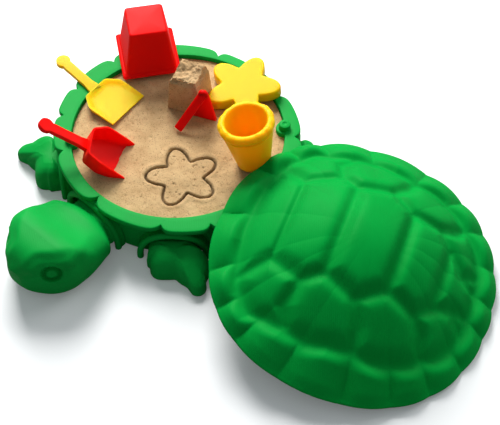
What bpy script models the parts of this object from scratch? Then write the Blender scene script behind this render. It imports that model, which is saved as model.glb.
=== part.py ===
"""Tabletop turtle sandbox: a scalloped tub of sand, its lift-off shell cover and its sand toys.

Frame: metres, +Z up, origin on the ground at the middle of the tub, the head towards -Y.
"""

import math

import bmesh
import bpy
from mathutils import Matrix, Vector

# Clearances
GAP = 0.0003

# Tub, flange and sand
RIM_HEIGHT = 0.0250
RIM_THICKNESS = 0.0030
RIM_INNER_RADIUS = 0.0563
RIM_HALF_WIDTH = 0.0676
RIM_FRONT_LENGTH = 0.0638
RIM_REAR_LENGTH = 0.0624
RIM_LIP = 0.0004
NOTCH_ANGLES = (0.0, 36.0, 59.0, 77.0, 102.0, 129.0, 158.0, 180.0)
NOTCH_DEPTH = 0.0038
FRONT_NOTCH_DEPTH = 0.0058
LOBE_SAMPLES = 9
WALL_THICKNESS = 0.0028
TUB_FOOT_DRAFT = 0.0020
TUB_FOOT_RADIUS = RIM_INNER_RADIUS + RIM_LIP + WALL_THICKNESS - TUB_FOOT_DRAFT
TUB_FOOT_CHAMFER = 0.0015
FLOOR_THICKNESS = 0.0030
SAND_DEPTH_BELOW_RIM = 0.0025
TUB_SEGMENTS = 72

# Locating pegs and their pads
PEG_RADIUS = 0.0031
PEG_STAND = 0.0033
PEG_HOLE_DEPTH = 0.0020
PEG_PITCH_RADIUS = 0.0563
PEG_ANGLES = (45.0, 228.0)
PAD_RADIUS = 0.0046
PAD_STEPS = 8

# Hoods over the legs, neck and tail
HOOD_WALL = 0.0020
HOOD_BEAD_RADIUS = 0.0017
HOOD_ROOT_RADIUS = 0.0520
HOOD_GROUND_GAP = 0.0002
HOOD_EXPONENT = 2.5
ARCH_SAMPLES = 16
LEG_HOOD = {"half_width": 0.0178, "height": 0.0182, "reach": 0.0668}
NECK_HOOD = {"half_width": 0.0192, "height": 0.0200, "reach": 0.0636}
TAIL_HOOD = {"half_width": 0.0085, "height": 0.0125, "reach": 0.0625}
FRONT_LEG_ANGLE = 41.0
REAR_LEG_ANGLE = 127.0

# Head
HEAD_STATIONS = (
    # distance forward of the tub's middle, half width, height of the centre line, height above it and below it
    (0.0600, 0.0144, 0.0077, 0.0086, 0.0074),
    (0.0655, 0.0146, 0.0078, 0.0088, 0.0075),
    (0.0680, 0.0168, 0.0100, 0.0106, 0.0094),
    (0.0720, 0.0206, 0.0130, 0.0131, 0.0122),
    (0.0780, 0.0242, 0.0156, 0.0150, 0.0151),
    (0.0850, 0.0272, 0.0169, 0.0163, 0.0166),
    (0.0920, 0.0282, 0.0172, 0.0167, 0.0170),
    (0.0990, 0.0267, 0.0172, 0.0156, 0.0168),
    (0.1050, 0.0232, 0.0172, 0.0132, 0.0162),
    (0.1100, 0.0182, 0.0171, 0.0100, 0.0148),
    (0.1140, 0.0120, 0.0169, 0.0066, 0.0118),
    (0.1163, 0.0062, 0.0167, 0.0032, 0.0066),
)
HEAD_SEGMENTS = 28
HEAD_EXPONENT = 2.25
BROW_ANGLE = 34.0
BROW_SPREAD = 16.0
BROW_RISE = 0.0009
EYE_HOLLOW = 0.0011
EYE_SHARE = 0.746
EYE_HEIGHT_ANGLE = 2.0
EYE_RING_RADIUS = 0.0052
EYE_GROOVE_WIDTH = 0.0016
EYE_GROOVE_DEPTH = 0.0010

# Legs: two rounded lobes that grow out of a root in the hood
# reach beyond the hood's mouth, place across it and radius of each lobe
FRONT_LEG_LOBES = ((-0.0003, -0.0060, 0.0098), (0.0077, 0.0075, 0.0118))
REAR_LEG_LOBES = ((-0.0013, 0.0055, 0.0088), (0.0022, -0.0060, 0.0098))
LEG_ROOT_START = RIM_INNER_RADIUS + RIM_LIP + WALL_THICKNESS + GAP
LEG_ROOT_END = LEG_HOOD["reach"] + 0.0032
LEG_ROOT_HALF_WIDTH = 0.0128
LEG_BLEND = 0.0016
LEG_HOOD_ROOM = 0.0005
LEG_SHOULDER = 0.0025
LEG_ROOT_LOWERING = 0.86
LEG_MIDDLE = (LEG_HOOD["reach"] + 0.0004, 0.0010)
FRONT_LEG_LEVELS = ((0.0, 0.94), (0.0012, 1.0), (0.0078, 0.99), (0.0112, 0.94), (0.0136, 0.84), (0.0151, 0.68),
                    (0.0158, 0.45))
REAR_LEG_LEVELS = ((0.0, 0.94), (0.0012, 1.0), (0.0060, 0.99), (0.0088, 0.94), (0.0106, 0.84), (0.0117, 0.68),
                   (0.0122, 0.45))
LEG_RAYS = 44

# Tail
TAIL_LENGTH = 0.0092
TAIL_ROOT_TUCK = 0.0007
TAIL_ROOT_RADIUS = 0.0043
TAIL_TIP_RADIUS = 0.0016
TAIL_HEIGHT = 0.0046

# Shell cover
COVER_HALF_LENGTH = 0.0714
COVER_HALF_WIDTH = 0.0716
COVER_CORNER_SWELL = 0.028
COVER_RISE = 0.0345
COVER_DOME_POWER = 1.22
COVER_CROWN_SHIFT = (0.0010, 0.0035)
COVER_WALL = 0.0021
COVER_LOBE_DEPTH = 0.0008
COVER_LOBE_RISE = 0.0022
COVER_FRONT_LOBE_RISE = 0.0012
COVER_RINGS = 20
COVER_SEGMENTS = 88
COVER_PLACE = (0.1203, -0.0002)
COVER_SPINE_ANGLE = 21.0
COVER_TILT = 10.97
COVER_TILT_ANGLE = 2.1
VALLEY_DEPTH = 0.0031
VALLEY_WIDTH = 0.0038
MARGIN_VALLEY_DEPTH = 0.0024
MARGIN_VALLEY_WIDTH = 0.0036
# place along the spine, half length, depth and width of the valleys that cross the spine
CROSS_VALLEYS = ((-0.0523, 0.0160, 0.0008, 0.0014), (-0.0392, 0.0240, 0.0021, 0.0021),
                 (-0.0140, 0.0260, 0.0031, 0.0037), (0.0160, 0.0225, 0.0033, 0.0036),
                 (0.0395, 0.0160, 0.0031, 0.0032))
BAND_EDGE = ((-0.0520, 0.0350), (-0.0395, 0.0240), (-0.0230, 0.0308), (-0.0140, 0.0255), (0.0035, 0.0315),
             (0.0160, 0.0222), (0.0320, 0.0245), (0.0400, 0.0160), (0.0500, 0.0100), (0.0620, 0.0060))
SIDE_VALLEYS = (((-0.0230, 0.0308), (-0.0250, 0.0430), (-0.0210, 0.0510)),
                ((0.0035, 0.0315), (0.0101, 0.0420), (0.0118, 0.0500)),
                ((0.0320, 0.0245), (0.0393, 0.0305), (0.0440, 0.0390)),
                ((0.0500, 0.0100), (0.0610, 0.0190)))
# degrees from the spine, and share of the reach at which the marginal scutes start
MARGIN_STARTS = ((0.0, 0.82), (14.0, 0.83), (25.0, 0.84), (33.0, 0.82), (45.0, 0.79), (60.0, 0.77), (77.0, 0.72),
                 (89.0, 0.72), (99.0, 0.76), (112.0, 0.76), (120.0, 0.79), (128.0, 0.84), (140.0, 0.84),
                 (150.0, 0.82), (165.0, 0.79), (180.0, 0.79))
COVER_NOTCH_ANGLES = (-7.0, 7.0, 24.0, 41.0, 57.0, 76.0, 102.0, 123.0, 137.0, 153.0, 180.0)

# Square bucket, standing on its mouth across the rim
SQUARE_BUCKET_HEIGHT = 0.0288
SQUARE_BUCKET_END = 0.0208
SQUARE_BUCKET_MOUTH = 0.0280
SQUARE_BUCKET_LIP = 0.0020
SQUARE_BUCKET_LIP_THICKNESS = 0.0020
SQUARE_BUCKET_WALL = 0.0013
SQUARE_BUCKET_CORNER = 0.0016
SQUARE_CORNER_STEPS = 4
SQUARE_BUCKET_PLACE = (-0.0513, 0.0292)
SQUARE_BUCKET_TURN = 53.5
SQUARE_BUCKET_TIP = 4.8

# Sand castle, turned out of the square bucket
CASTLE_HEIGHT = 0.0232
CASTLE_BASE = 0.0184
CASTLE_TOP = 0.0154
CASTLE_PLACE = (-0.0122, 0.0220)
CASTLE_TURN = 20.0
CASTLE_BEVEL = 0.0009

# Round bucket
ROUND_BUCKET_HEIGHT = 0.0315
ROUND_BUCKET_FOOT_RADIUS = 0.0094
ROUND_BUCKET_NECK_RADIUS = 0.0126
ROUND_BUCKET_WALL = 0.0013
ROUND_BUCKET_BAND_RADIUS = 0.0154
ROUND_BUCKET_BAND_HEIGHT = 0.0052
ROUND_BUCKET_MOUTH_RADIUS = 0.0114
ROUND_BUCKET_PLACE = (0.0391, 0.0134)
ROUND_BUCKET_LEAN = 5.5
ROUND_BUCKET_LEAN_ANGLE = 222.0
ROUND_BUCKET_SEGMENTS = 40

# Star mould and the print it left
STAR_MOULD_TIP = 0.0206
STAR_MOULD_WAIST = 0.0122
STAR_MOULD_HEIGHT = 0.0062
STAR_MOULD_WALL = 0.0014
STAR_MOULD_EDGE = 0.0011
STAR_MOULD_PLACE = (0.0058, 0.0450)
STAR_MOULD_TURN = 34.0
STAR_ARMS = 5
STAR_ROUNDNESS = 0.80
STAR_RAYS = 60
PRINT_PLACE = (0.0211, -0.0186)
PRINT_TURN = 3.0
PRINT_GROOVE_WIDTH = 0.0011
PRINT_DEPTH = 0.0022

# Shovel and scoop
BLADE_LENGTH = 0.0262
BLADE_WIDTH = 0.0262
BLADE_TIP_WIDTH = 0.0242
BLADE_BACK_WIDTH = 0.0175
BLADE_CHAMFER_RUN = 0.0085
BLADE_THICKNESS = 0.0013
BLADE_SIDE_STEPS = 4
SHOVEL_WALL_HEIGHT = 0.0016
SCOOP_WALL_HEIGHT = 0.0068
BLADE_WALL_LEAN = 0.30
HANDLE_LENGTH = 0.0235
HANDLE_WIDTH = 0.0056
HANDLE_NECK_WIDTH = 0.0072
HANDLE_KNOB_RADIUS = 0.0041
HANDLE_THICKNESS = 0.0024
SHOVEL_TIP = (-0.0305, -0.0070)
SHOVEL_TURN = 180.0
SHOVEL_RISE = 6.2
SHOVEL_HANDLE_RISE = -5.5
SCOOP_TIP = (-0.0038, -0.0279)
SCOOP_TURN = 212.0
SCOOP_RISE = 13.0
SCOOP_HANDLE_RISE = 20.0
SCOOP_DIG = 0.0027

# Rake, propped on its teeth and its handle end
RAKE_HEAD_HEIGHT = 0.0260
RAKE_HEAD_TOP_WIDTH = 0.0052
RAKE_HEAD_BASE_WIDTH = 0.0124
RAKE_TEETH = 4
RAKE_TOOTH_LENGTH = 0.0030
RAKE_GUM_ARCH = 0.0001
RAKE_THICKNESS = 0.0020
RAKE_BASE = (0.0046, 0.0172)
RAKE_HEAD_TURN = 22.0
RAKE_HEAD_LEAN = 2.0
RAKE_HANDLE_FOOT = (-0.0020, 0.0020)

# Colours, roughness
GREEN = (0.010, 0.480, 0.085, 1.0)
RED = (0.820, 0.012, 0.006, 1.0)
YELLOW = (0.950, 0.640, 0.010, 1.0)
SAND = (0.640, 0.420, 0.220, 1.0)
PLASTIC_ROUGHNESS = 0.42
SAND_ROUGHNESS = 0.95

SAND_LEVEL = RIM_HEIGHT - SAND_DEPTH_BELOW_RIM
REST_LEVEL = SAND_LEVEL + GAP


# ---------------------------------------------------------------- helpers

def clear_scene():
    """Remove every object of the open file."""
    for old in list(bpy.data.objects):
        bpy.data.objects.remove(old, do_unlink=True)


def new_collection(name):
    """Make a collection in the scene."""
    collection = bpy.data.collections.new(name)
    bpy.context.scene.collection.children.link(collection)
    return collection


def plain_material(name, colour, roughness):
    """Principled material of one colour."""
    material = bpy.data.materials.new(name)
    material.use_nodes = True
    shader = material.node_tree.nodes["Principled BSDF"]
    shader.inputs["Base Color"].default_value = colour
    shader.inputs["Roughness"].default_value = roughness
    shader.inputs["Metallic"].default_value = 0.0
    material.diffuse_color = colour
    return material


def object_from_bmesh(name, bm, collection):
    """Turn a bmesh into an object of the collection."""
    mesh = bpy.data.meshes.new(name)
    bm.to_mesh(mesh)
    bm.free()
    obj = bpy.data.objects.new(name, mesh)
    collection.objects.link(obj)
    return obj


def finish_part(obj, colour, roughness=PLASTIC_ROUGHNESS, sharp_angle=35.0):
    """Give a part its material and smooth round faces."""
    obj.data.materials.clear()
    obj.data.materials.append(plain_material(obj.name, colour, roughness))
    obj.data.shade_smooth()
    obj.data.set_sharp_from_angle(angle=math.radians(sharp_angle))
    return obj


def as_tool(obj):
    """Mark an object as a cutting or joining tool that the part does not show."""
    obj.hide_render = True
    obj.display_type = "WIRE"
    return obj


def boolean(target, tool, operation):
    """Join or cut the target with a tool by an exact Boolean."""
    modifier = target.modifiers.new(operation.title() + " " + tool.name, "BOOLEAN")
    modifier.operation = operation
    modifier.solver = "EXACT"
    modifier.object = as_tool(tool)


def solidify(obj, thickness, offset=-1.0):
    """Give an open surface a wall."""
    modifier = obj.modifiers.new("Wall", "SOLIDIFY")
    modifier.thickness = thickness
    modifier.offset = offset
    modifier.use_even_offset = True
    modifier.use_quality_normals = True
    return modifier


def bevel(obj, width, segments=2, angle=40.0):
    """Round the sharp edges of an object."""
    modifier = obj.modifiers.new("Round edges", "BEVEL")
    modifier.width = width
    modifier.segments = segments
    modifier.limit_method = "ANGLE"
    modifier.angle_limit = math.radians(angle)


def poly_curve(name, loops, collection, dimensions="2D"):
    """Curve object with one straight-sided spline for each loop."""
    curve = bpy.data.curves.new(name, "CURVE")
    curve.dimensions = dimensions
    for points, cyclic in loops:
        spline = curve.splines.new("POLY")
        spline.points.add(len(points) - 1)
        for target, point in zip(spline.points, points):
            target.co = (point[0], point[1], point[2] if len(point) > 2 else 0.0, 1.0)
        spline.use_cyclic_u = cyclic
    obj = bpy.data.objects.new(name, curve)
    collection.objects.link(obj)
    return obj


def mesh_from_curve(obj, collection):
    """Replace a curve object by its welded mesh, in the same place."""
    bpy.context.view_layer.update()
    graph = bpy.context.evaluated_depsgraph_get()
    mesh = bpy.data.meshes.new_from_object(obj.evaluated_get(graph))
    bm = bmesh.new()
    bm.from_mesh(mesh)
    bmesh.ops.remove_doubles(bm, verts=bm.verts, dist=1e-6)
    bmesh.ops.recalc_face_normals(bm, faces=bm.faces)
    bm.to_mesh(mesh)
    bm.free()
    solid = bpy.data.objects.new(obj.name + "_mesh", mesh)
    solid.matrix_world = obj.matrix_world.copy()
    collection.objects.link(solid)
    name = obj.name
    bpy.data.objects.remove(obj, do_unlink=True)
    solid.name = name
    return solid


def flat_plate(name, loops, thickness, collection):
    """Plate with the given closed outlines, its middle plane at z = 0."""
    obj = poly_curve(name, [(loop, True) for loop in loops], collection)
    obj.data.fill_mode = "BOTH"
    obj.data.extrude = thickness / 2.0
    return mesh_from_curve(obj, collection)


def round_bar(name, points, radius, collection):
    """Round bar that follows a list of points."""
    obj = poly_curve(name, [(points, False)], collection, "3D")
    obj.data.bevel_depth = radius
    obj.data.bevel_resolution = 2
    obj.data.use_fill_caps = True
    return mesh_from_curve(obj, collection)


def cylinder(name, radius, height, base_centre, collection, segments=32):
    """Upright cylinder that stands on base_centre."""
    bm = bmesh.new()
    middle = Matrix.Translation(Vector(base_centre) + Vector((0.0, 0.0, height / 2.0)))
    bmesh.ops.create_cone(bm, cap_ends=True, segments=segments, radius1=radius, radius2=radius,
                          depth=height, matrix=middle)
    return object_from_bmesh(name, bm, collection)


def stack_rings(name, rings, collection):
    """Closed solid through rings of equal count, capped at both ends."""
    bm = bmesh.new()
    rows = [[bm.verts.new(point) for point in ring] for ring in rings]
    count = len(rows[0])
    for low, high in zip(rows, rows[1:]):
        for i in range(count):
            j = (i + 1) % count
            bm.faces.new((low[i], low[j], high[j], high[i]))
    bm.faces.new(list(reversed(rows[0])))
    bm.faces.new(rows[-1])
    bmesh.ops.triangulate(bm, faces=[face for face in bm.faces if len(face.verts) > 4])
    bmesh.ops.recalc_face_normals(bm, faces=bm.faces)
    return object_from_bmesh(name, bm, collection)


def turned(name, profile, segments, collection):
    """Body of revolution about Z from (radius, height) points, down the outer side first."""
    bm = bmesh.new()
    verts = [bm.verts.new((radius, 0.0, height)) for radius, height in profile]
    for first, second in zip(verts, verts[1:]):
        bm.edges.new((first, second))
    obj = object_from_bmesh(name, bm, collection)
    screw = obj.modifiers.new("Turn", "SCREW")
    screw.steps = segments
    screw.render_steps = segments
    screw.use_merge_vertices = True
    screw.merge_threshold = 1e-6
    return obj


def direction(angle):
    """Unit vector in the ground plane, by degrees from +X."""
    return Vector((math.cos(math.radians(angle)), math.sin(math.radians(angle)), 0.0))


def from_front(angle, side=1):
    """Direction by degrees from the head, towards +X for side 1 and -X for side -1."""
    turn = math.radians(angle)
    return Vector((side * math.sin(turn), -math.cos(turn), 0.0))


def settle(obj, level):
    """Move an object up or down until its lowest point, walls included, is at level."""
    bpy.context.view_layer.update()
    shown = obj.evaluated_get(bpy.context.evaluated_depsgraph_get())
    lowest = min((obj.matrix_world @ vert.co).z for vert in shown.data.vertices)
    obj.matrix_world = Matrix.Translation((0.0, 0.0, level - lowest)) @ obj.matrix_world


def placed(obj, place, turn=0.0):
    """Set an object's place and its turn about Z in degrees."""
    obj.location = place
    obj.rotation_euler = (0.0, 0.0, math.radians(turn))
    return obj


# ---------------------------------------------------------------- outlines

def rim_reach(angle):
    """Smooth reach of the flange, by degrees from the head."""
    turn = math.radians(angle)
    length = RIM_FRONT_LENGTH if math.cos(turn) > 0 else RIM_REAR_LENGTH
    return 1.0 / math.hypot(math.sin(turn) / RIM_HALF_WIDTH, math.cos(turn) / length)


def notch_depth(index):
    """Depth of a notch between two scutes of the flange."""
    return FRONT_NOTCH_DEPTH if index == 0 else NOTCH_DEPTH


def flange_outline():
    """Scalloped outline: rounded lobes between notches, mirrored about the Y axis."""
    half = []
    for index in range(len(NOTCH_ANGLES) - 1):
        for step in range(LOBE_SAMPLES):
            share = step / LOBE_SAMPLES
            angle = NOTCH_ANGLES[index] + share * (NOTCH_ANGLES[index + 1] - NOTCH_ANGLES[index])
            depth = notch_depth(index) + share * (notch_depth(index + 1) - notch_depth(index))
            edge = abs(2.0 * share - 1.0)
            half.append((angle, rim_reach(angle) - depth * edge ** 7))
    half.append((180.0, rim_reach(180.0) - NOTCH_DEPTH))
    right = [from_front(angle) * reach for angle, reach in half]
    left = [from_front(angle, -1) * reach for angle, reach in reversed(half[1:-1])]
    return [tuple(point.xy) for point in right + left]


def flange_hole_outline():
    """Round hole of the flange, with a pad bulging into it at each peg."""
    reaches = {}
    spread = math.degrees(2.0 * math.asin(PAD_RADIUS / (2.0 * RIM_INNER_RADIUS)))
    for index in range(TUB_SEGMENTS):
        angle = 360.0 * index / TUB_SEGMENTS
        if all(abs(angle - peg) > spread + 1.0 for peg in PEG_ANGLES):
            reaches[angle] = RIM_INNER_RADIUS
    for peg in PEG_ANGLES:
        for step in range(-PAD_STEPS, PAD_STEPS + 1):
            offset = spread * math.sin(math.pi / 2.0 * step / PAD_STEPS)
            near = PEG_PITCH_RADIUS * math.cos(math.radians(offset))
            side = PEG_PITCH_RADIUS * math.sin(math.radians(offset))
            reaches[peg + offset] = near - math.sqrt(max(PAD_RADIUS ** 2 - side ** 2, 0.0))
        reaches[peg - spread - 0.5] = RIM_INNER_RADIUS
        reaches[peg + spread + 0.5] = RIM_INNER_RADIUS
    return [tuple((direction(angle) * reaches[angle]).xy) for angle in sorted(reaches)]


def circle_outline(radius, count, centre=(0.0, 0.0)):
    """Points round a circle."""
    steps = [2.0 * math.pi * i / count for i in range(count)]
    return [(centre[0] + radius * math.cos(t), centre[1] + radius * math.sin(t)) for t in steps]


def star_outline(tip, waist, grow=0.0):
    """Starfish outline with rounded arms, one arm along +X."""
    points = []
    for i in range(STAR_RAYS):
        turn = 2.0 * math.pi * i / STAR_RAYS
        swell = ((1.0 + math.cos(STAR_ARMS * turn)) / 2.0) ** STAR_ROUNDNESS
        reach = waist + (tip - waist) * swell + grow
        points.append((reach * math.cos(turn), reach * math.sin(turn)))
    return points


def arch_outline(half_width, height):
    """Arch from the left foot over the crown to the right foot."""
    points = []
    for i in range(ARCH_SAMPLES + 1):
        turn = math.pi * (1.0 - i / ARCH_SAMPLES)
        across = math.cos(turn)
        along = math.sin(turn)
        x = half_width * math.copysign(abs(across) ** (2.0 / HOOD_EXPONENT), across)
        points.append((x, height * abs(along) ** (2.0 / HOOD_EXPONENT)))
    return points


# ---------------------------------------------------------------- basin

def hood_frame(outward):
    """Matrix with X across the hood, Y up and Z outward."""
    across = Vector((0.0, 0.0, 1.0)).cross(outward) * -1.0
    up = Vector((0.0, 0.0, 1.0))
    columns = Matrix((across, up, outward)).transposed()
    if columns.determinant() < 0:
        columns = Matrix((-across, up, outward)).transposed()
    return columns.to_4x4()


def hood(name, spec, outward, tools):
    """Arched hood round a limb: a short tunnel off the wall with a round bead at its mouth."""
    outer = arch_outline(spec["half_width"], spec["height"])
    inner = arch_outline(spec["half_width"] - HOOD_WALL, spec["height"] - HOOD_WALL)
    tunnel_length = spec["reach"] - HOOD_ROOT_RADIUS
    tunnel = flat_plate(name, [outer + list(reversed(inner))], tunnel_length, tools)
    frame = hood_frame(outward)
    middle_place = outward * (HOOD_ROOT_RADIUS + tunnel_length / 2.0)
    middle_place.z = HOOD_GROUND_GAP
    tunnel.matrix_world = Matrix.Translation(middle_place) @ frame
    middle = arch_outline(spec["half_width"] - HOOD_WALL / 2.0, spec["height"] - HOOD_WALL / 2.0)
    bead = round_bar(name + "_bead", [(x, y, 0.0) for x, y in middle], HOOD_BEAD_RADIUS, tools)
    mouth_place = outward * spec["reach"]
    mouth_place.z = HOOD_GROUND_GAP * 2.0
    bead.matrix_world = Matrix.Translation(mouth_place) @ frame
    return [tunnel, bead]


def limb_places():
    """Name, hood sizes and outward direction of each limb's hood."""
    return [
        ("neck", NECK_HOOD, from_front(0.0)),
        ("front_left", LEG_HOOD, from_front(FRONT_LEG_ANGLE)),
        ("front_right", LEG_HOOD, from_front(FRONT_LEG_ANGLE, -1)),
        ("rear_left", LEG_HOOD, from_front(REAR_LEG_ANGLE)),
        ("rear_right", LEG_HOOD, from_front(REAR_LEG_ANGLE, -1)),
        ("tail", TAIL_HOOD, from_front(180.0)),
    ]


def make_basin(parts, tools):
    """Tub with its scalloped flange, limb hoods and peg pads."""
    inner = RIM_INNER_RADIUS + RIM_LIP
    top = RIM_HEIGHT - RIM_THICKNESS / 2.0
    body = [
        (0.0, top),
        (inner + WALL_THICKNESS, top),
        (inner + WALL_THICKNESS, RIM_HEIGHT / 2.0),
        (TUB_FOOT_RADIUS, TUB_FOOT_CHAMFER),
        (TUB_FOOT_RADIUS - TUB_FOOT_CHAMFER, 0.0),
        (0.0, 0.0),
    ]
    hollow = [
        (0.0, RIM_HEIGHT * 2.0),
        (inner, RIM_HEIGHT * 2.0),
        (inner, RIM_HEIGHT / 2.0),
        (TUB_FOOT_RADIUS - WALL_THICKNESS, FLOOR_THICKNESS),
        (0.0, FLOOR_THICKNESS),
    ]
    basin = turned("basin", body, TUB_SEGMENTS, parts)
    for name, spec, outward in limb_places():
        for tool in hood(name + "_hood", spec, outward, tools):
            boolean(basin, tool, "UNION")
    tub_hollow = placed(turned("tub_hollow", hollow, TUB_SEGMENTS, tools), (0.0, 0.0, 0.0), 1.7)
    boolean(basin, tub_hollow, "DIFFERENCE")
    flange = flat_plate("flange", [flange_outline(), flange_hole_outline()], RIM_THICKNESS, tools)
    flange.location.z = RIM_HEIGHT - RIM_THICKNESS / 2.0
    boolean(basin, flange, "UNION")
    for index, angle in enumerate(PEG_ANGLES):
        centre = direction(angle) * PEG_PITCH_RADIUS
        centre.z = RIM_HEIGHT - PEG_HOLE_DEPTH
        hole = cylinder("peg_hole_%d" % index, PEG_RADIUS + GAP, PEG_HOLE_DEPTH * 2.0, centre, tools)
        boolean(basin, hole, "DIFFERENCE")
    return finish_part(basin, GREEN)


def make_pegs(parts):
    """Two locating pegs, each seated in its blind hole."""
    for name, angle in zip(("locating_peg_rear", "locating_peg_front"), PEG_ANGLES):
        height = PEG_STAND + PEG_HOLE_DEPTH - GAP
        centre = direction(angle) * PEG_PITCH_RADIUS
        centre.z = RIM_HEIGHT - PEG_HOLE_DEPTH + GAP
        peg = cylinder(name, PEG_RADIUS, height, centre, parts)
        bevel(peg, 0.0004)
        finish_part(peg, GREEN)


# ---------------------------------------------------------------- head, legs and tail

def head_point(station, turn):
    """Point of the head's skin at one station, by the turn round the section."""
    forward, half_width, centre, above, below = station
    power = 2.0 / HEAD_EXPONENT
    across = math.copysign(abs(math.cos(turn)) ** power, math.cos(turn)) * half_width
    rise = above if math.sin(turn) > 0 else below
    up = math.copysign(abs(math.sin(turn)) ** power, math.sin(turn)) * rise
    front = max(0.0, min(1.0, (forward - 0.078) / 0.012))
    tilt = math.degrees(math.atan2(math.sin(turn), abs(math.cos(turn))))
    brow = math.exp(-((tilt - BROW_ANGLE) / BROW_SPREAD) ** 2) * BROW_RISE
    hollow = math.exp(-((tilt - EYE_HEIGHT_ANGLE) / 22.0) ** 2) * EYE_HOLLOW
    swell = 1.0 + front * (brow - hollow) / 0.020
    return Vector((across * swell, -forward, centre + up * swell))


def make_head(parts, tools):
    """Broad head with a neck that fills its hood, brows and ringed eyes."""
    rings = []
    for station in HEAD_STATIONS:
        turns = [2.0 * math.pi * i / HEAD_SEGMENTS for i in range(HEAD_SEGMENTS)]
        rings.append([head_point(station, turn) for turn in turns])
    head = stack_rings("head", rings, parts)
    for side in (-1, 1):
        name = "eye_ring_%s" % ("left" if side > 0 else "right")
        boolean(head, eye_ring(name, side, tools), "DIFFERENCE")
    return finish_part(head, GREEN)


def eye_ring(name, side, tools):
    """Ring that cuts the groove round one eye."""
    forward = HEAD_STATIONS[0][0] + EYE_SHARE * (HEAD_STATIONS[-1][0] - HEAD_STATIONS[0][0])
    near = max(i for i, station in enumerate(HEAD_STATIONS[:-1]) if station[0] <= forward)
    low, high = HEAD_STATIONS[near], HEAD_STATIONS[near + 1]
    share = (forward - low[0]) / (high[0] - low[0])
    station = tuple(a + share * (b - a) for a, b in zip(low, high))
    turn = math.radians(EYE_HEIGHT_ANGLE)
    centre = head_point(station, turn)
    outward = Vector((0.76, -0.62, 0.18)).normalized()
    ring = flat_plate(name, [circle_outline(EYE_RING_RADIUS, 28),
                             circle_outline(EYE_RING_RADIUS - EYE_GROOVE_WIDTH, 28)],
                      EYE_GROOVE_DEPTH * 4.0, tools)
    facing = Vector((0.0, 0.0, 1.0)).rotation_difference(outward).to_matrix().to_4x4()
    inset = outward * (EYE_GROOVE_DEPTH * 1.0)
    ring.matrix_world = Matrix.Translation(centre + inset) @ facing
    if side < 0:
        ring.matrix_world = Matrix.Scale(-1.0, 4, Vector((1.0, 0.0, 0.0))) @ ring.matrix_world
    return ring


def smooth_least(values, blend):
    """Least of several distances, with rounded corners between them."""
    least = min(values)
    return least - blend * math.log(sum(math.exp((least - value) / blend) for value in values))


def leg_distance(along, across, lobes):
    """Signed distance to a leg's outline, below 0 inside."""
    values = [math.hypot(along - LEG_HOOD["reach"] - lobe[0], across - lobe[1]) - lobe[2] for lobe in lobes]
    dx = max(LEG_ROOT_START - along, along - LEG_ROOT_END)
    dy = abs(across) - LEG_ROOT_HALF_WIDTH
    outside = math.hypot(max(dx, 0.0), max(dy, 0.0))
    values.append(outside + min(max(dx, dy), 0.0))
    return smooth_least(values, LEG_BLEND)


def leg_outline(lobes):
    """Outline of a leg, found along rays from its middle."""
    points = []
    for i in range(LEG_RAYS):
        turn = 2.0 * math.pi * i / LEG_RAYS
        low, high = 0.0, 0.040
        for _ in range(30):
            reach = (low + high) / 2.0
            along = LEG_MIDDLE[0] + reach * math.cos(turn)
            across = LEG_MIDDLE[1] + reach * math.sin(turn)
            if leg_distance(along, across, lobes) < 0.0:
                low = reach
            else:
                high = reach
        points.append((low * math.cos(turn), low * math.sin(turn)))
    return points


def leg_skin_point(reach, across, height):
    """Draw a leg's point in where it passes through its hood."""
    crown = LEG_HOOD["height"] - HOOD_WALL / 2.0 - HOOD_BEAD_RADIUS - LEG_HOOD_ROOM
    half_width = LEG_HOOD["half_width"] - HOOD_WALL / 2.0 - HOOD_BEAD_RADIUS - LEG_HOOD_ROOM
    mouth = LEG_HOOD["reach"] + HOOD_BEAD_RADIUS + LEG_HOOD_ROOM * 2.0
    free = smooth_step((reach - mouth) / LEG_SHOULDER)
    height *= LEG_ROOT_LOWERING + (1.0 - LEG_ROOT_LOWERING) * free
    arch = half_width * max(1.0 - (height / crown) ** HOOD_EXPONENT, 0.0) ** (1.0 / HOOD_EXPONENT)
    limit = arch + free * LEG_SHOULDER * 6.0
    return reach, math.copysign(min(abs(across), limit), across), height


def make_leg(name, lobes, levels, angle, side, parts):
    """Stubby two-lobed leg, flat beneath and rounded above."""
    outward = from_front(angle, side)
    rearward = Vector((side * math.cos(math.radians(angle)), math.sin(math.radians(angle)), 0.0))
    rings = []
    for level, scale in levels:
        ring = []
        for along, across in leg_outline(lobes):
            reach = max(LEG_MIDDLE[0] + along * scale, LEG_ROOT_START)
            reach, lateral, height = leg_skin_point(reach, LEG_MIDDLE[1] + across * scale, level)
            ring.append(outward * reach + rearward * lateral + Vector((0.0, 0.0, height)))
        rings.append(ring)
    return finish_part(stack_rings(name, rings, parts), GREEN, sharp_angle=50.0)


def make_tail(parts):
    """Short pointed tail in its hood."""
    profile = [(LEG_ROOT_START - TAIL_ROOT_TUCK, TAIL_ROOT_RADIUS),
               (TAIL_HOOD["reach"] + 0.001, TAIL_ROOT_RADIUS * 0.92),
               (LEG_ROOT_START + TAIL_LENGTH * 0.7, TAIL_ROOT_RADIUS * 0.62),
               (LEG_ROOT_START + TAIL_LENGTH, TAIL_TIP_RADIUS)]
    rings = []
    for reach, radius in profile:
        drop = (TAIL_ROOT_RADIUS - radius) * 0.5
        rings.append([Vector((x, reach, TAIL_HEIGHT - drop + z)) for x, z in circle_outline(radius, 20)])
    return finish_part(stack_rings("tail", rings, parts), GREEN)


# ---------------------------------------------------------------- sand

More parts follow.
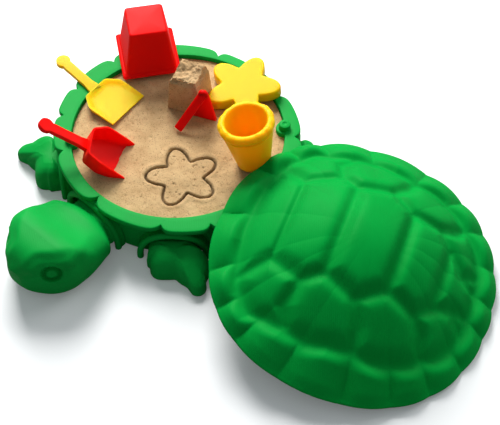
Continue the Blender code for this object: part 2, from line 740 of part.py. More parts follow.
def make_sand(parts, tools):
    """Sand that fills the tub, with the star print and room for what stands in it."""
    radius = RIM_INNER_RADIUS - GAP
    base = FLOOR_THICKNESS + GAP
    foot_radius = TUB_FOOT_RADIUS - WALL_THICKNESS - GAP
    profile = [(0.0, SAND_LEVEL), (radius, SAND_LEVEL), (radius, RIM_HEIGHT / 2.0 + GAP), (foot_radius, base), (0.0, base)]
    sand = turned("sand_fill", profile, TUB_SEGMENTS, parts)
    groove = flat_plate("print_groove", [star_outline(print_tip(), print_waist(), PRINT_GROOVE_WIDTH / 2.0),
                                         star_outline(print_tip(), print_waist(), -PRINT_GROOVE_WIDTH / 2.0)],
                        PRINT_DEPTH * 2.0, tools)
    placed(groove, (PRINT_PLACE[0], PRINT_PLACE[1], SAND_LEVEL), PRINT_TURN)
    boolean(sand, groove, "DIFFERENCE")
    for index, angle in enumerate(PEG_ANGLES):
        centre = direction(angle) * PEG_PITCH_RADIUS
        centre.z = RIM_HEIGHT - RIM_THICKNESS - GAP
        room = cylinder("pad_room_%d" % index, PAD_RADIUS + GAP * 2.0, RIM_THICKNESS * 2.0, centre, tools)
        boolean(sand, room, "DIFFERENCE")
    boolean(sand, scoop_room(tools), "DIFFERENCE")
    boolean(sand, rake_room(tools), "DIFFERENCE")
    return finish_part(sand, SAND, SAND_ROUGHNESS)


def print_tip():
    """Tip reach of the print, at the inside of the mould's wall."""
    return STAR_MOULD_TIP - STAR_MOULD_WALL


def print_waist():
    """Waist reach of the print, at the inside of the mould's wall."""
    return STAR_MOULD_WAIST - STAR_MOULD_WALL


def make_castle(parts):
    """Block of damp sand turned out of the square bucket."""
    bm = bmesh.new()
    half_diagonal = math.sqrt(2.0) / 2.0
    bmesh.ops.create_cone(bm, cap_ends=True, segments=4, radius1=CASTLE_BASE * half_diagonal,
                          radius2=CASTLE_TOP * half_diagonal, depth=CASTLE_HEIGHT)
    bmesh.ops.rotate(bm, verts=bm.verts, matrix=Matrix.Rotation(math.radians(45.0), 3, "Z"))
    castle = object_from_bmesh("sand_castle", bm, parts)
    placed(castle, (CASTLE_PLACE[0], CASTLE_PLACE[1], REST_LEVEL + CASTLE_HEIGHT / 2.0), CASTLE_TURN)
    bevel(castle, CASTLE_BEVEL)
    return finish_part(castle, SAND, SAND_ROUGHNESS)


# ---------------------------------------------------------------- cover

def smooth_step(value):
    """Ease from 0 to 1."""
    value = max(0.0, min(1.0, value))
    return value * value * (3.0 - 2.0 * value)


def spine_degrees(turn):
    """Degrees from the spine's rear end, 0 to 180 on either side."""
    return abs((math.degrees(turn) + 180.0) % 360.0 - 180.0)


def lobe_wave(turn):
    """Swell of the marginal scutes round the edge, 0 in the notches."""
    degrees = spine_degrees(turn)
    for low, high in zip(COVER_NOTCH_ANGLES, COVER_NOTCH_ANGLES[1:]):
        if degrees <= high:
            return abs(math.sin(math.pi * (degrees - low) / (high - low))) ** 0.75
    return 0.0


def cover_edge(turn):
    """Reach of the cover's edge, by the turn from its spine."""
    oval = 1.0 / math.hypot(math.cos(turn) / COVER_HALF_LENGTH, math.sin(turn) / COVER_HALF_WIDTH)
    corner = 1.0 + COVER_CORNER_SWELL * math.sin(2.0 * turn) ** 2
    return oval * corner + COVER_LOBE_DEPTH * (lobe_wave(turn) - 1.0)


def margin_start(turn):
    """Share of the reach at which the marginal scutes start."""
    degrees = spine_degrees(turn)
    for (low, before), (high, after) in zip(MARGIN_STARTS, MARGIN_STARTS[1:]):
        if degrees <= high:
            return before + (after - before) * (degrees - low) / (high - low)
    return MARGIN_STARTS[-1][1]


def line_distance(x, y, points):
    """Distance from a place to a bent line."""
    nearest = 1.0
    for (ax, ay), (bx, by) in zip(points, points[1:]):
        run_x, run_y = bx - ax, by - ay
        share = ((x - ax) * run_x + (y - ay) * run_y) / (run_x ** 2 + run_y ** 2)
        share = max(0.0, min(1.0, share))
        nearest = min(nearest, math.hypot(x - ax - share * run_x, y - ay - share * run_y))
    return nearest


def cover_valleys():
    """Line, depth and width of every valley between the plates, on one side of the spine."""
    lines = [(((place, 0.0), (place, end)), depth, width) for place, end, depth, width in CROSS_VALLEYS]
    lines.append((BAND_EDGE, VALLEY_DEPTH, VALLEY_WIDTH))
    lines.extend((points, VALLEY_DEPTH, VALLEY_WIDTH) for points in SIDE_VALLEYS)
    return lines


def cover_relief(x, y, share, turn):
    """Depth of the skin below the full dome: valleys between the plates, less the marginal lobes."""
    start = margin_start(turn)
    inside = smooth_step((start + 0.06 - share) / 0.08)
    total = 0.0
    for points, depth, width in cover_valleys():
        valley = depth * math.exp(-(line_distance(x, abs(y), points) / width) ** 2) * inside
        total += valley ** 4
    across = (share - start) * COVER_HALF_LENGTH / MARGIN_VALLEY_WIDTH
    total += (MARGIN_VALLEY_DEPTH * math.exp(-across ** 2)) ** 4
    bump = smooth_step((share - start - 0.01) / 0.10) * smooth_step((1.05 - share) / 0.12)
    front = smooth_step((spine_degrees(turn) - 115.0) / 35.0)
    return total ** 0.25 - (COVER_LOBE_RISE + COVER_FRONT_LOBE_RISE * front) * bump * lobe_wave(turn)


def cover_point(share, turn):
    """Point of the cover's outer skin, by its share of the reach and its turn."""
    reach = cover_edge(turn) * share
    x = reach * math.cos(turn)
    y = reach * math.sin(turn)
    height = COVER_RISE * (1.0 - share ** 2) ** COVER_DOME_POWER - cover_relief(x, y, share, turn)
    slide = 1.0 - share ** 2
    return Vector((x + COVER_CROWN_SHIFT[0] * slide, y + COVER_CROWN_SHIFT[1] * slide, height))


def cover_matrix():
    """Pose of the cover: one edge on the flange, the far edge on the ground."""
    downhill = direction(COVER_TILT_ANGLE)
    axis = Vector((0.0, 0.0, 1.0)).cross(downhill)
    tilt = Matrix.Rotation(math.radians(COVER_TILT), 4, axis)
    spin = Matrix.Rotation(math.radians(COVER_SPINE_ANGLE), 4, "Z")
    turned_only = tilt @ spin
    return Matrix.Translation((COVER_PLACE[0], COVER_PLACE[1], 0.0)) @ turned_only


def make_cover(parts):
    """Domed shell with raised plates and a wavy edge, an open surface given a wall."""
    bm = bmesh.new()
    crown = bm.verts.new(cover_point(0.0, 0.0))
    rows = []
    for ring in range(1, COVER_RINGS + 1):
        share = (ring / COVER_RINGS) ** 0.92
        rows.append([bm.verts.new(cover_point(share, 2.0 * math.pi * i / COVER_SEGMENTS))
                     for i in range(COVER_SEGMENTS)])
    for i in range(COVER_SEGMENTS):
        j = (i + 1) % COVER_SEGMENTS
        bm.faces.new((crown, rows[0][i], rows[0][j]))
        for low, high in zip(rows, rows[1:]):
            bm.faces.new((low[i], high[i], high[j], low[j]))
    cover = object_from_bmesh("cover", bm, parts)
    cover.matrix_world = cover_matrix()
    solidify(cover, COVER_WALL)
    settle(cover, 0.0)
    return finish_part(cover, GREEN, sharp_angle=60.0)


# ---------------------------------------------------------------- buckets and mould

def square_ring(half, corner, height):
    """Square ring with rounded corners, at one height."""
    ring = []
    for quarter in range(4):
        centre = direction(45.0 + 90.0 * quarter) * (half - corner) * math.sqrt(2.0)
        for step in range(SQUARE_CORNER_STEPS + 1):
            point = centre + direction(90.0 * quarter + 90.0 * step / SQUARE_CORNER_STEPS) * corner
            ring.append(Vector((point.x, point.y, height)))
    return ring


def square_bucket_matrix():
    """Pose of the square bucket: mouth down on the flange, tipped a little towards the sand."""
    reach = math.hypot(*SQUARE_BUCKET_PLACE)
    outward = Vector((SQUARE_BUCKET_PLACE[0] / reach, SQUARE_BUCKET_PLACE[1] / reach, 0.0))
    half = SQUARE_BUCKET_MOUTH / 2.0 + SQUARE_BUCKET_LIP
    edge = math.sqrt(RIM_INNER_RADIUS ** 2 - half ** 2)
    slope = math.radians(SQUARE_BUCKET_TIP)
    middle = RIM_HEIGHT + GAP * 1.2 + (reach - edge) * math.tan(slope)
    tilt = Matrix.Rotation(slope, 4, outward.cross(Vector((0.0, 0.0, 1.0))))
    spin = Matrix.Rotation(math.radians(SQUARE_BUCKET_TURN), 4, "Z")
    return Matrix.Translation((*SQUARE_BUCKET_PLACE, middle)) @ tilt @ spin


def make_square_bucket(parts):
    """Square bucket, mouth down, with a lip round the mouth."""
    mouth = SQUARE_BUCKET_MOUTH / 2.0
    end = SQUARE_BUCKET_END / 2.0
    wall = SQUARE_BUCKET_WALL
    corner = SQUARE_BUCKET_CORNER
    lip = SQUARE_BUCKET_LIP_THICKNESS
    top = SQUARE_BUCKET_HEIGHT
    rings = [
        square_ring(end - wall, corner, top - wall),
        square_ring(mouth - wall, corner, 0.0),
        square_ring(mouth + SQUARE_BUCKET_LIP, corner, 0.0),
        square_ring(mouth + SQUARE_BUCKET_LIP, corner, lip),
        square_ring(mouth, corner, lip),
        square_ring(end, corner, top - corner * 0.4),
        square_ring(end - corner * 0.4, corner * 0.8, top),
    ]
    bucket = stack_rings("red_bucket", rings, parts)
    bucket.matrix_world = square_bucket_matrix()
    return finish_part(bucket, RED)


def make_round_bucket(parts):
    """Round bucket with a thick band round its mouth, leaning a little."""
    foot = ROUND_BUCKET_FOOT_RADIUS
    band_low = ROUND_BUCKET_HEIGHT - ROUND_BUCKET_BAND_HEIGHT
    band = ROUND_BUCKET_BAND_RADIUS
    profile = [(0.0, ROUND_BUCKET_WALL),
               (foot - ROUND_BUCKET_WALL * 1.4, ROUND_BUCKET_WALL),
               (ROUND_BUCKET_MOUTH_RADIUS - 0.0002, band_low),
               (ROUND_BUCKET_MOUTH_RADIUS, ROUND_BUCKET_HEIGHT - 0.0006),
               (ROUND_BUCKET_MOUTH_RADIUS + 0.0008, ROUND_BUCKET_HEIGHT)]
    for i in range(7):
        turn = math.pi * (0.5 - i / 6.0)
        profile.append((band - 0.0022 + 0.0022 * math.cos(turn),
                        band_low + ROUND_BUCKET_BAND_HEIGHT / 2.0 + ROUND_BUCKET_BAND_HEIGHT / 2.0 * math.sin(turn)))
    profile += [(ROUND_BUCKET_NECK_RADIUS, band_low - 0.0004), (foot, 0.0008), (foot - 0.0008, 0.0), (0.0, 0.0)]
    bucket = turned("yellow_bucket", profile, ROUND_BUCKET_SEGMENTS, parts)
    lean_axis = Vector((0.0, 0.0, 1.0)).cross(direction(ROUND_BUCKET_LEAN_ANGLE))
    lean = Matrix.Rotation(math.radians(ROUND_BUCKET_LEAN), 4, lean_axis)
    bucket.matrix_world = Matrix.Translation((*ROUND_BUCKET_PLACE, REST_LEVEL)) @ lean
    settle(bucket, REST_LEVEL)
    return finish_part(bucket, YELLOW)


def mould_matrix():
    """Pose of the star mould: two arms on the flange, the others on the sand."""
    reach = math.hypot(*STAR_MOULD_PLACE)
    outward = Vector((STAR_MOULD_PLACE[0] / reach, STAR_MOULD_PLACE[1] / reach, 0.0))
    span = RIM_INNER_RADIUS - (reach - STAR_MOULD_TIP)
    slope = math.atan2(SAND_DEPTH_BELOW_RIM, span)
    axis = outward.cross(Vector((0.0, 0.0, 1.0)))
    middle = REST_LEVEL + GAP * 0.4 + STAR_MOULD_TIP * math.tan(slope)
    tilt = Matrix.Rotation(slope, 4, axis)
    spin = Matrix.Rotation(math.radians(STAR_MOULD_TURN), 4, "Z")
    return Matrix.Translation((*STAR_MOULD_PLACE, middle)) @ tilt @ spin


def make_star_mould(parts, tools):
    """Starfish sand mould, closed above and open beneath."""
    outer = flat_plate("star_mould", [star_outline(STAR_MOULD_TIP, STAR_MOULD_WAIST)], STAR_MOULD_HEIGHT, parts)
    outer.matrix_world = mould_matrix() @ Matrix.Translation((0.0, 0.0, STAR_MOULD_HEIGHT / 2.0))
    bevel(outer, STAR_MOULD_EDGE, segments=2, angle=60.0)
    cavity = flat_plate("mould_cavity", [star_outline(STAR_MOULD_TIP, STAR_MOULD_WAIST, -STAR_MOULD_WALL)],
                        STAR_MOULD_HEIGHT, tools)
    cavity.matrix_world = mould_matrix() @ Matrix.Translation((0.0, 0.0, STAR_MOULD_HEIGHT / 2.0 - STAR_MOULD_WALL))
    boolean(outer, cavity, "DIFFERENCE")
    return finish_part(outer, YELLOW)


# ---------------------------------------------------------------- shovel, scoop and rake

def blade_outline(inset=0.0):
    """Outline of a blade, its front edge at x = 0, drawn in by inset on every side."""
    back = BLADE_LENGTH
    side = BLADE_LENGTH - BLADE_CHAMFER_RUN
    points = [(0.0, -BLADE_TIP_WIDTH / 2.0)]
    for step in range(1, BLADE_SIDE_STEPS + 1):
        share = step / BLADE_SIDE_STEPS
        half = (BLADE_TIP_WIDTH + share * (BLADE_WIDTH - BLADE_TIP_WIDTH)) / 2.0
        points.append((side * share, -half))
    points.append((back, -BLADE_BACK_WIDTH / 2.0))
    points += [(x, -y) for x, y in reversed(points)]
    middle = BLADE_LENGTH / 2.0
    shrink_x = 1.0 - inset / middle
    shrink_y = 1.0 - inset / (BLADE_WIDTH / 2.0)
    return [(middle + (x - middle) * shrink_x, y * shrink_y) for x, y in points]


def handle_outline(length):
    """Flat handle along +X that ends in a round knob."""
    half = HANDLE_WIDTH / 2.0
    neck = HANDLE_NECK_WIDTH / 2.0
    meet = math.asin(half / HANDLE_KNOB_RADIUS)
    points = [(-0.0010, neck), (-0.0010, -neck), (0.0040, -half)]
    steps = 14
    for i in range(steps + 1):
        turn = -(math.pi - meet) + 2.0 * (math.pi - meet) * i / steps
        points.append((length + HANDLE_KNOB_RADIUS * math.cos(turn), HANDLE_KNOB_RADIUS * math.sin(turn)))
    points.append((0.0040, half))
    return points


def blade_tray(name, wall_height, collection):
    """Tray of a blade: a flat floor whose back and sides stand up and fall away to the tips."""
    middle = Vector((BLADE_LENGTH / 2.0, 0.0, 0.0))
    rings = [[Vector((x, y, 0.0)) for x, y in blade_outline(BLADE_THICKNESS * 0.3)]]
    side = BLADE_LENGTH - BLADE_CHAMFER_RUN
    for inset in (0.0, BLADE_THICKNESS):
        ring = []
        for (x, y), (edge_x, _) in zip(blade_outline(inset), blade_outline()):
            height = wall_height * min(edge_x / side, 1.0) ** 0.8
            away = (Vector((x, y, 0.0)) - middle).normalized() * height * BLADE_WALL_LEAN
            ring.append(Vector((x, y, BLADE_THICKNESS + height)) + away)
        rings.append(ring)
    rings.append([Vector((x, y, BLADE_THICKNESS)) for x, y in blade_outline(BLADE_THICKNESS * 1.6)])
    return stack_rings(name, rings, collection)


def tool_matrix(tip, turn, rise, level):
    """Pose of a blade: its front edge at tip, turned about Z, its back lifted by rise degrees."""
    spin = Matrix.Rotation(math.radians(turn), 4, "Z")
    pitch = Matrix.Rotation(math.radians(-rise), 4, "Y")
    return Matrix.Translation((tip[0], tip[1], level)) @ spin @ pitch


def join_handle(blade, name, matrix, handle_rise, height, tools):
    """Flat handle with a knob, joined to the blade's back."""
    handle = flat_plate(name, [handle_outline(HANDLE_LENGTH)], HANDLE_THICKNESS, tools)
    pitch = Matrix.Rotation(math.radians(-handle_rise), 4, "Y")
    handle.matrix_world = matrix @ Matrix.Translation((BLADE_LENGTH, 0.0, height)) @ pitch
    bevel(handle, 0.0005, segments=2)
    boolean(blade, handle, "UNION")


def shovel_matrix():
    """Pose of the shovel, its blade on the sand and its handle over the flange."""
    return tool_matrix(SHOVEL_TIP, SHOVEL_TURN, SHOVEL_RISE, REST_LEVEL)


def scoop_matrix():
    """Pose of the scoop, its front edge a little way into the sand."""
    return tool_matrix(SCOOP_TIP, SCOOP_TURN, SCOOP_RISE, SAND_LEVEL - SCOOP_DIG)


def make_shovel(parts, tools):
    """Flat shovel with low walls."""
    shovel = blade_tray("yellow_shovel", SHOVEL_WALL_HEIGHT, parts)
    shovel.matrix_world = shovel_matrix()
    join_handle(shovel, "shovel_handle", shovel_matrix(), SHOVEL_HANDLE_RISE, HANDLE_THICKNESS * 0.6, tools)
    return finish_part(shovel, YELLOW, sharp_angle=25.0)


def make_scoop(parts, tools):
    """Deep scoop with high walls that fall to points at the front."""
    scoop = blade_tray("red_scoop", SCOOP_WALL_HEIGHT, parts)
    scoop.matrix_world = scoop_matrix()
    join_handle(scoop, "scoop_handle", scoop_matrix(), SCOOP_HANDLE_RISE, SCOOP_WALL_HEIGHT * 0.72, tools)
    return finish_part(scoop, RED, sharp_angle=25.0)


def scoop_room(tools):
    """Room in the sand for the scoop's blade, open above."""
    grown = [(x + math.copysign(GAP * 2.0, x - BLADE_LENGTH / 2.0), y + math.copysign(GAP * 2.0, y))
             for x, y in blade_outline()]
    room = flat_plate("scoop_room", [grown], 0.0200, tools)
    room.matrix_world = scoop_matrix() @ Matrix.Translation((0.0, 0.0, 0.0100 - GAP))
    return room


def rake_head_outline():
    """Triangular rake head with short teeth, its top at the origin."""
    top = RAKE_HEAD_TOP_WIDTH / 2.0
    base = RAKE_HEAD_BASE_WIDTH / 2.0
    gum = -(RAKE_HEAD_HEIGHT - RAKE_TOOTH_LENGTH)
    points = [(top, 0.0), (-top, 0.0), (-base, gum)]
    pitch = RAKE_HEAD_BASE_WIDTH / (2 * RAKE_TEETH - 1)
    for tooth in range(RAKE_TEETH):
        start = -base + 2 * tooth * pitch
        if tooth:
            points.append((start, gum + RAKE_GUM_ARCH * tooth))
        points.append((start + pitch * 0.15, -RAKE_HEAD_HEIGHT))
        points.append((start + pitch * 0.85, -RAKE_HEAD_HEIGHT))
        last = tooth == RAKE_TEETH - 1
        points.append((start + pitch, gum if last else gum + RAKE_GUM_ARCH * (tooth + 1.5)))
    return points


def rake_head_matrix():
    """Pose of the rake's head: teeth in the sand, face towards the front right."""
    across = direction(RAKE_HEAD_TURN)
    face = across.cross(Vector((0.0, 0.0, 1.0)))
    lean = Matrix.Rotation(math.radians(RAKE_HEAD_LEAN), 3, across)
    up = lean @ Vector((0.0, 0.0, 1.0))
    normal = lean @ face
    columns = Matrix((across, up, normal)).transposed().to_4x4()
    top = Vector((*RAKE_BASE, SAND_LEVEL - RAKE_TOOTH_LENGTH * 0.5)) + up * RAKE_HEAD_HEIGHT
    return Matrix.Translation(top) @ columns


def make_rake(parts, tools):
    """Rake propped up like an inverted V on its teeth and the end of its handle."""
    head_matrix = rake_head_matrix()
    rake = flat_plate("red_rake", [rake_head_outline()], RAKE_THICKNESS, parts)
    rake.matrix_world = head_matrix
    apex = head_matrix @ Vector((0.0, -0.0016, 0.0))
    foot = Vector((*RAKE_HANDLE_FOOT, REST_LEVEL + HANDLE_THICKNESS * 0.75))
    along = (foot - apex).normalized()
    across = direction(RAKE_HEAD_TURN)
    across = (across - along * across.dot(along)).normalized()
    normal = along.cross(across)
    handle = flat_plate("rake_handle", [rake_handle_outline((foot - apex).length)], HANDLE_THICKNESS, tools)
    handle.matrix_world = Matrix.Translation(apex) @ Matrix((along, across, normal)).transposed().to_4x4()
    boolean(rake, handle, "UNION")
    return finish_part(rake, RED, sharp_angle=25.0)


def rake_handle_outline(length):
    """Flat bar along +X, rounded at its foot."""
    half = HANDLE_WIDTH / 2.0
    points = [(0.0, half), (0.0, -half)]
    steps = 8
    for i in range(steps + 1):
        turn = -math.pi / 2.0 + math.pi * i / steps
        points.append((length - half * 0.5 + half * 0.5 * math.cos(turn), half * math.sin(turn)))
    return points


def rake_room(tools):
    """Slot in the sand for the rake's teeth, open above."""
    half = RAKE_HEAD_BASE_WIDTH / 2.0 + GAP * 2.0
    depth = RAKE_THICKNESS / 2.0 + GAP * 2.0
    outline = [(half, depth), (-half, depth), (-half, -depth), (half, -depth)]
    slot = flat_plate("rake_room", [outline], RAKE_TOOTH_LENGTH * 2.0, tools)
    place = Matrix.Translation((*RAKE_BASE, SAND_LEVEL + RAKE_TOOTH_LENGTH * 0.5 - GAP * 1.3))
    slot.matrix_world = place @ Matrix.Rotation(math.radians(RAKE_HEAD_TURN), 4, "Z")
    return slot


# ---------------------------------------------------------------- assembly

def main():
    """Build every piece of the sandbox."""
    clear_scene()
    parts = new_collection("turtle_sandbox")
    tools = new_collection("shaping_tools")
    make_basin(parts, tools)
    make_pegs(parts)
    make_head(parts, tools)
    make_leg("front_leg_left", FRONT_LEG_LOBES, FRONT_LEG_LEVELS, FRONT_LEG_ANGLE, 1, parts)
    make_leg("front_leg_right", FRONT_LEG_LOBES, FRONT_LEG_LEVELS, FRONT_LEG_ANGLE, -1, parts)
    make_leg("rear_leg_left", REAR_LEG_LOBES, REAR_LEG_LEVELS, REAR_LEG_ANGLE, 1, parts)
    make_leg("rear_leg_right", REAR_LEG_LOBES, REAR_LEG_LEVELS, REAR_LEG_ANGLE, -1, parts)
    make_tail(parts)
    make_sand(parts, tools)
    make_castle(parts)
    make_cover(parts)
    make_square_bucket(parts)
    make_round_bucket(parts)
    make_star_mould(parts, tools)
    make_shovel(parts, tools)
    make_scoop(parts, tools)
    make_rake(parts, tools)


main()
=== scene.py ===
"""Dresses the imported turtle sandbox: printed tub, head, legs and shell cover, damp sand and sand toys.

Every length is in metres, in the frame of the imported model: +Z up, the head towards -Y.
"""

from __future__ import annotations

import logging
import math
from dataclasses import dataclass
from enum import Enum
from typing import Mapping, Sequence

import bmesh
import bpy
import numpy as np
from mathutils import Matrix, Vector, noise

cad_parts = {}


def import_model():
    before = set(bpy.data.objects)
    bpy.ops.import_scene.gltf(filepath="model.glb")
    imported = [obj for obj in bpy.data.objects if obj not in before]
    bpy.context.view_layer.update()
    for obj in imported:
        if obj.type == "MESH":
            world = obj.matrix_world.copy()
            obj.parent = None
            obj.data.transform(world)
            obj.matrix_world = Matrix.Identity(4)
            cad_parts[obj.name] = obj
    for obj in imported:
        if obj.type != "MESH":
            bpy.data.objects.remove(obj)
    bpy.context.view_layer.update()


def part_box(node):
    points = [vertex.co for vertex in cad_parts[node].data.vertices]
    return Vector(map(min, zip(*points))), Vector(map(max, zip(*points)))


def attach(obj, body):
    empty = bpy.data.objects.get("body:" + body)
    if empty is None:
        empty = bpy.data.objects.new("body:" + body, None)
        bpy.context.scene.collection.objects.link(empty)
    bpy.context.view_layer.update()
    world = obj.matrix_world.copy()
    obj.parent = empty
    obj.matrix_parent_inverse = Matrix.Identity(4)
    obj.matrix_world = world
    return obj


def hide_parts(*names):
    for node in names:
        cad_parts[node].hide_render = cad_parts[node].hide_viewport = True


LOG = logging.getLogger("turtle_sandbox")

# Sizes that more than one sub-assembly keeps to.
GAP = 0.0003
RIM_HEIGHT = 0.0250
RIM_INNER_RADIUS = 0.0563
SAND_LEVEL = 0.0225
FRONT_LEG_ANGLE = 41.0
REAR_LEG_ANGLE = 127.0
UP = (0.0, 0.0, 1.0)

Array = np.ndarray
Pair = tuple[float, float]
Triple = tuple[float, float, float]


class Body(Enum):
    """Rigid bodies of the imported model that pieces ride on."""

    TUB = "tub"
    COVER = "cover"
    RED_BUCKET = "red_bucket"
    YELLOW_BUCKET = "yellow_bucket"
    STAR_MOULD = "star_mould"
    SHOVEL = "yellow_shovel"
    SCOOP = "red_scoop"
    RAKE = "red_rake"


# ---------------------------------------------------------------- shared maths

def direction(degrees: float) -> Array:
    """Unit vector in the ground plane, by degrees from +X."""
    turn = math.radians(degrees)
    return np.array([math.cos(turn), math.sin(turn), 0.0])


def from_front(degrees: float, side: int = 1) -> Array:
    """Unit vector by degrees from the head, towards +X for side 1 and -X for side -1."""
    turn = math.radians(degrees)
    return np.array([side * math.sin(turn), -math.cos(turn), 0.0])


def smooth_step(low: float, high: float, value: Array) -> Array:
    """Ease from 0 at low to 1 at high."""
    share = np.clip((value - low) / (high - low), 0.0, 1.0)
    return share * share * (3.0 - 2.0 * share)


def full_turn(count: int) -> Array:
    """Evenly spaced turns once round, in radians."""
    return np.linspace(0.0, 2.0 * math.pi, count, endpoint=False)


def unit(vectors: Array) -> Array:
    """Vectors drawn out to length 1 along the last axis."""
    return vectors / np.linalg.norm(vectors, axis=-1, keepdims=True)


def round_ring(turn: Array, reach: Array | float, height: Array | float) -> Array:
    """Points round the upright axis, by their turn, reach and height."""
    return np.stack(np.broadcast_arrays(reach * np.cos(turn), reach * np.sin(turn), height), axis=1)


def soft_edge(reach: Array | float, top: float, radius: float, angles: Sequence[float],
              side: int = 1) -> list[tuple[Array | float, float]]:
    """Steps of a profile round a soft upper edge.

    Args:
        reach: Reach of the full edge.
        top: Height of the level above it.
        radius: Radius of the soft edge.
        angles: Degrees above the level, one for each step.
        side: 1 for an outer edge and -1 for the edge of a hole.

    Returns:
        Reach and height of each step.
    """
    rises = [math.radians(angle) for angle in angles]
    return [(reach - side * radius * (1.0 - math.cos(rise)), top - radius * (1.0 - math.sin(rise)))
            for rise in rises]


def upright(lean: float, outward: Vector, turn: float) -> Matrix:
    """Turn of a piece that leans outwards.

    Args:
        lean: Degrees of the lean.
        outward: Level direction of its rising side.
        turn: Degrees that the piece is turned about its own upright.

    Returns:
        The turn, without a place.
    """
    tilt = Matrix.Rotation(math.radians(lean), 4, outward.cross(Vector(UP)))
    return tilt @ Matrix.Rotation(math.radians(turn), 4, "Z")


def bell(value: Array, middle: float, spread: float) -> Array:
    """Soft bump, 1 at the middle and near 0 two spreads away."""
    return np.exp(-((value - middle) / spread) ** 2)


def segment_distance(x: Array, y: Array, start: Sequence[float], end: Sequence[float]) -> Array:
    """Distance of points to a line segment in the plane.

    Args:
        x: First coordinates of the points.
        y: Second coordinates of the points.
        start: One end of the segment.
        end: The other end.

    Returns:
        The distances, of the shape of x.
    """
    run = (end[0] - start[0], end[1] - start[1])
    length = run[0] ** 2 + run[1] ** 2
    share = np.clip(((x - start[0]) * run[0] + (y - start[1]) * run[1]) / length, 0.0, 1.0)
    return np.hypot(x - start[0] - share * run[0], y - start[1] - share * run[1])


def polygon_distance(x: Array, y: Array, outline: Array) -> Array:
    """Signed distance to a closed outline, below 0 inside it.

    Args:
        x: First coordinates of the points.
        y: Second coordinates of the points.
        outline: Corners of the outline, in order.

    Returns:
        The distances, of the shape of x.
    """
    distance = np.full(np.shape(x), 1.0)
    inside = np.zeros(np.shape(x), dtype=bool)
    for (ax, ay), (bx, by) in zip(outline, np.roll(outline, -1, axis=0)):
        distance = np.minimum(distance, segment_distance(x, y, (ax, ay), (bx, by)))
        if ay != by:
            crosses = ((ay > y) != (by > y)) & (x < (bx - ax) * (y - ay) / (by - ay) + ax)
            inside ^= crosses
    return np.where(inside, -distance, distance)


def rough(points: Array, scale: float, octaves: int = 3, seed: float = 0.0) -> Array:
    """Fractal noise at points, about -1 to 1.

    Args:
        points: Rows of three coordinates in metres.
        scale: Size of the largest lumps in metres.
        octaves: Number of finer layers.
        seed: Offset that picks another pattern.

    Returns:
        One value for each point.
    """
    flat = points.reshape(-1, 3) / scale + seed
    gain, step = 1.0, 2.0
    values = [noise.fractal(Vector(p), gain, step, octaves, noise_basis="PERLIN_ORIGINAL") for p in flat]
    return np.array(values).reshape(points.shape[:-1])


# ---------------------------------------------------------------- mesh making

def linked(name: str, data: bpy.types.ID) -> bpy.types.Object:
    """New object of the scene for a mesh, a lamp or a camera."""
    obj = bpy.data.objects.new(name, data)
    bpy.context.scene.collection.objects.link(obj)
    return obj


def shaded(mesh: bpy.types.Mesh, sharp: float) -> None:
    """Shade a mesh smooth, but leave edges crisp that turn by more than so many degrees."""
    mesh.shade_smooth()
    mesh.set_sharp_from_angle(angle=math.radians(sharp))


def mesh_points(mesh: bpy.types.Mesh) -> Array:
    """Rows of a mesh's vertex positions."""
    flat = np.empty(len(mesh.vertices) * 3)
    mesh.vertices.foreach_get("co", flat)
    return flat.reshape(-1, 3)


def mesh_object(name: str, verts: Array, faces: Sequence[tuple[int, ...]],
                sharp: float = 40.0) -> bpy.types.Object:
    """Smooth-shaded object whose faces point outwards.

    Args:
        name: Name of the piece.
        verts: Vertex positions.
        faces: Vertex numbers of each face.
        sharp: Edges that turn by more degrees than this stay crisp.

    Returns:
        The new object, linked to the scene.
    """
    mesh = bpy.data.meshes.new(name)
    mesh.from_pydata([tuple(v) for v in np.asarray(verts, dtype=float)], [], faces)
    bm = bmesh.new()
    bm.from_mesh(mesh)
    bmesh.ops.remove_doubles(bm, verts=bm.verts, dist=1e-7)
    bmesh.ops.recalc_face_normals(bm, faces=bm.faces)
    bm.to_mesh(mesh)
    bm.free()
    shaded(mesh, sharp)
    return linked(name, mesh)


def loft_faces(ring_count: int, size: int) -> list[tuple[int, ...]]:
    """Quads between consecutive closed rings of equal size.

    Args:
        ring_count: Number of rings.
        size: Points in each ring.

    Returns:
        Vertex numbers of each face.
    """
    faces = []
    for low in range(0, (ring_count - 1) * size, size):
        high = low + size
        for i in range(size):
            j = (i + 1) % size
            faces.append((low + i, low + j, high + j, high + i))
    return faces


def loft(name: str, rings: Sequence[Array], sharp: float = 40.0) -> bpy.types.Object:
    """Closed piece through rings of points, each end closed by a fan round its middle.

    Args:
        name: Name of the piece.
        rings: Rings of equal size, in order.
        sharp: Edges that turn by more degrees than this stay crisp.

    Returns:
        The piece.
    """
    size = len(rings[0])
    verts = np.concatenate([np.asarray(ring) for ring in rings])
    faces = loft_faces(len(rings), size)
    caps = np.array([np.mean(rings[0], axis=0), np.mean(rings[-1], axis=0)])
    base = len(verts)
    last = base - size
    faces += [(base, i, (i + 1) % size) for i in range(size)]
    faces += [(base + 1, last + i, last + (i + 1) % size) for i in range(size)]
    return mesh_object(name, np.concatenate([verts, caps]), faces, sharp)


def joined(name: str, pieces: Sequence[bpy.types.Object], sharp: float = 40.0) -> bpy.types.Object:
    """One object from several, which are removed.

    Args:
        name: Name of the whole.
        pieces: The pieces that go into it.
        sharp: Edges that turn by more degrees than this stay crisp.

    Returns:
        The whole.
    """
    verts: list[Array] = []
    faces: list[tuple[int, ...]] = []
    count = 0
    for piece in pieces:
        mesh = piece.data
        verts.append(mesh_points(mesh))
        faces += [tuple(v + count for v in polygon.vertices) for polygon in mesh.polygons]
        count += len(mesh.vertices)
        bpy.data.objects.remove(piece, do_unlink=True)
        bpy.data.meshes.remove(mesh)
    return mesh_object(name, np.concatenate(verts), faces, sharp)


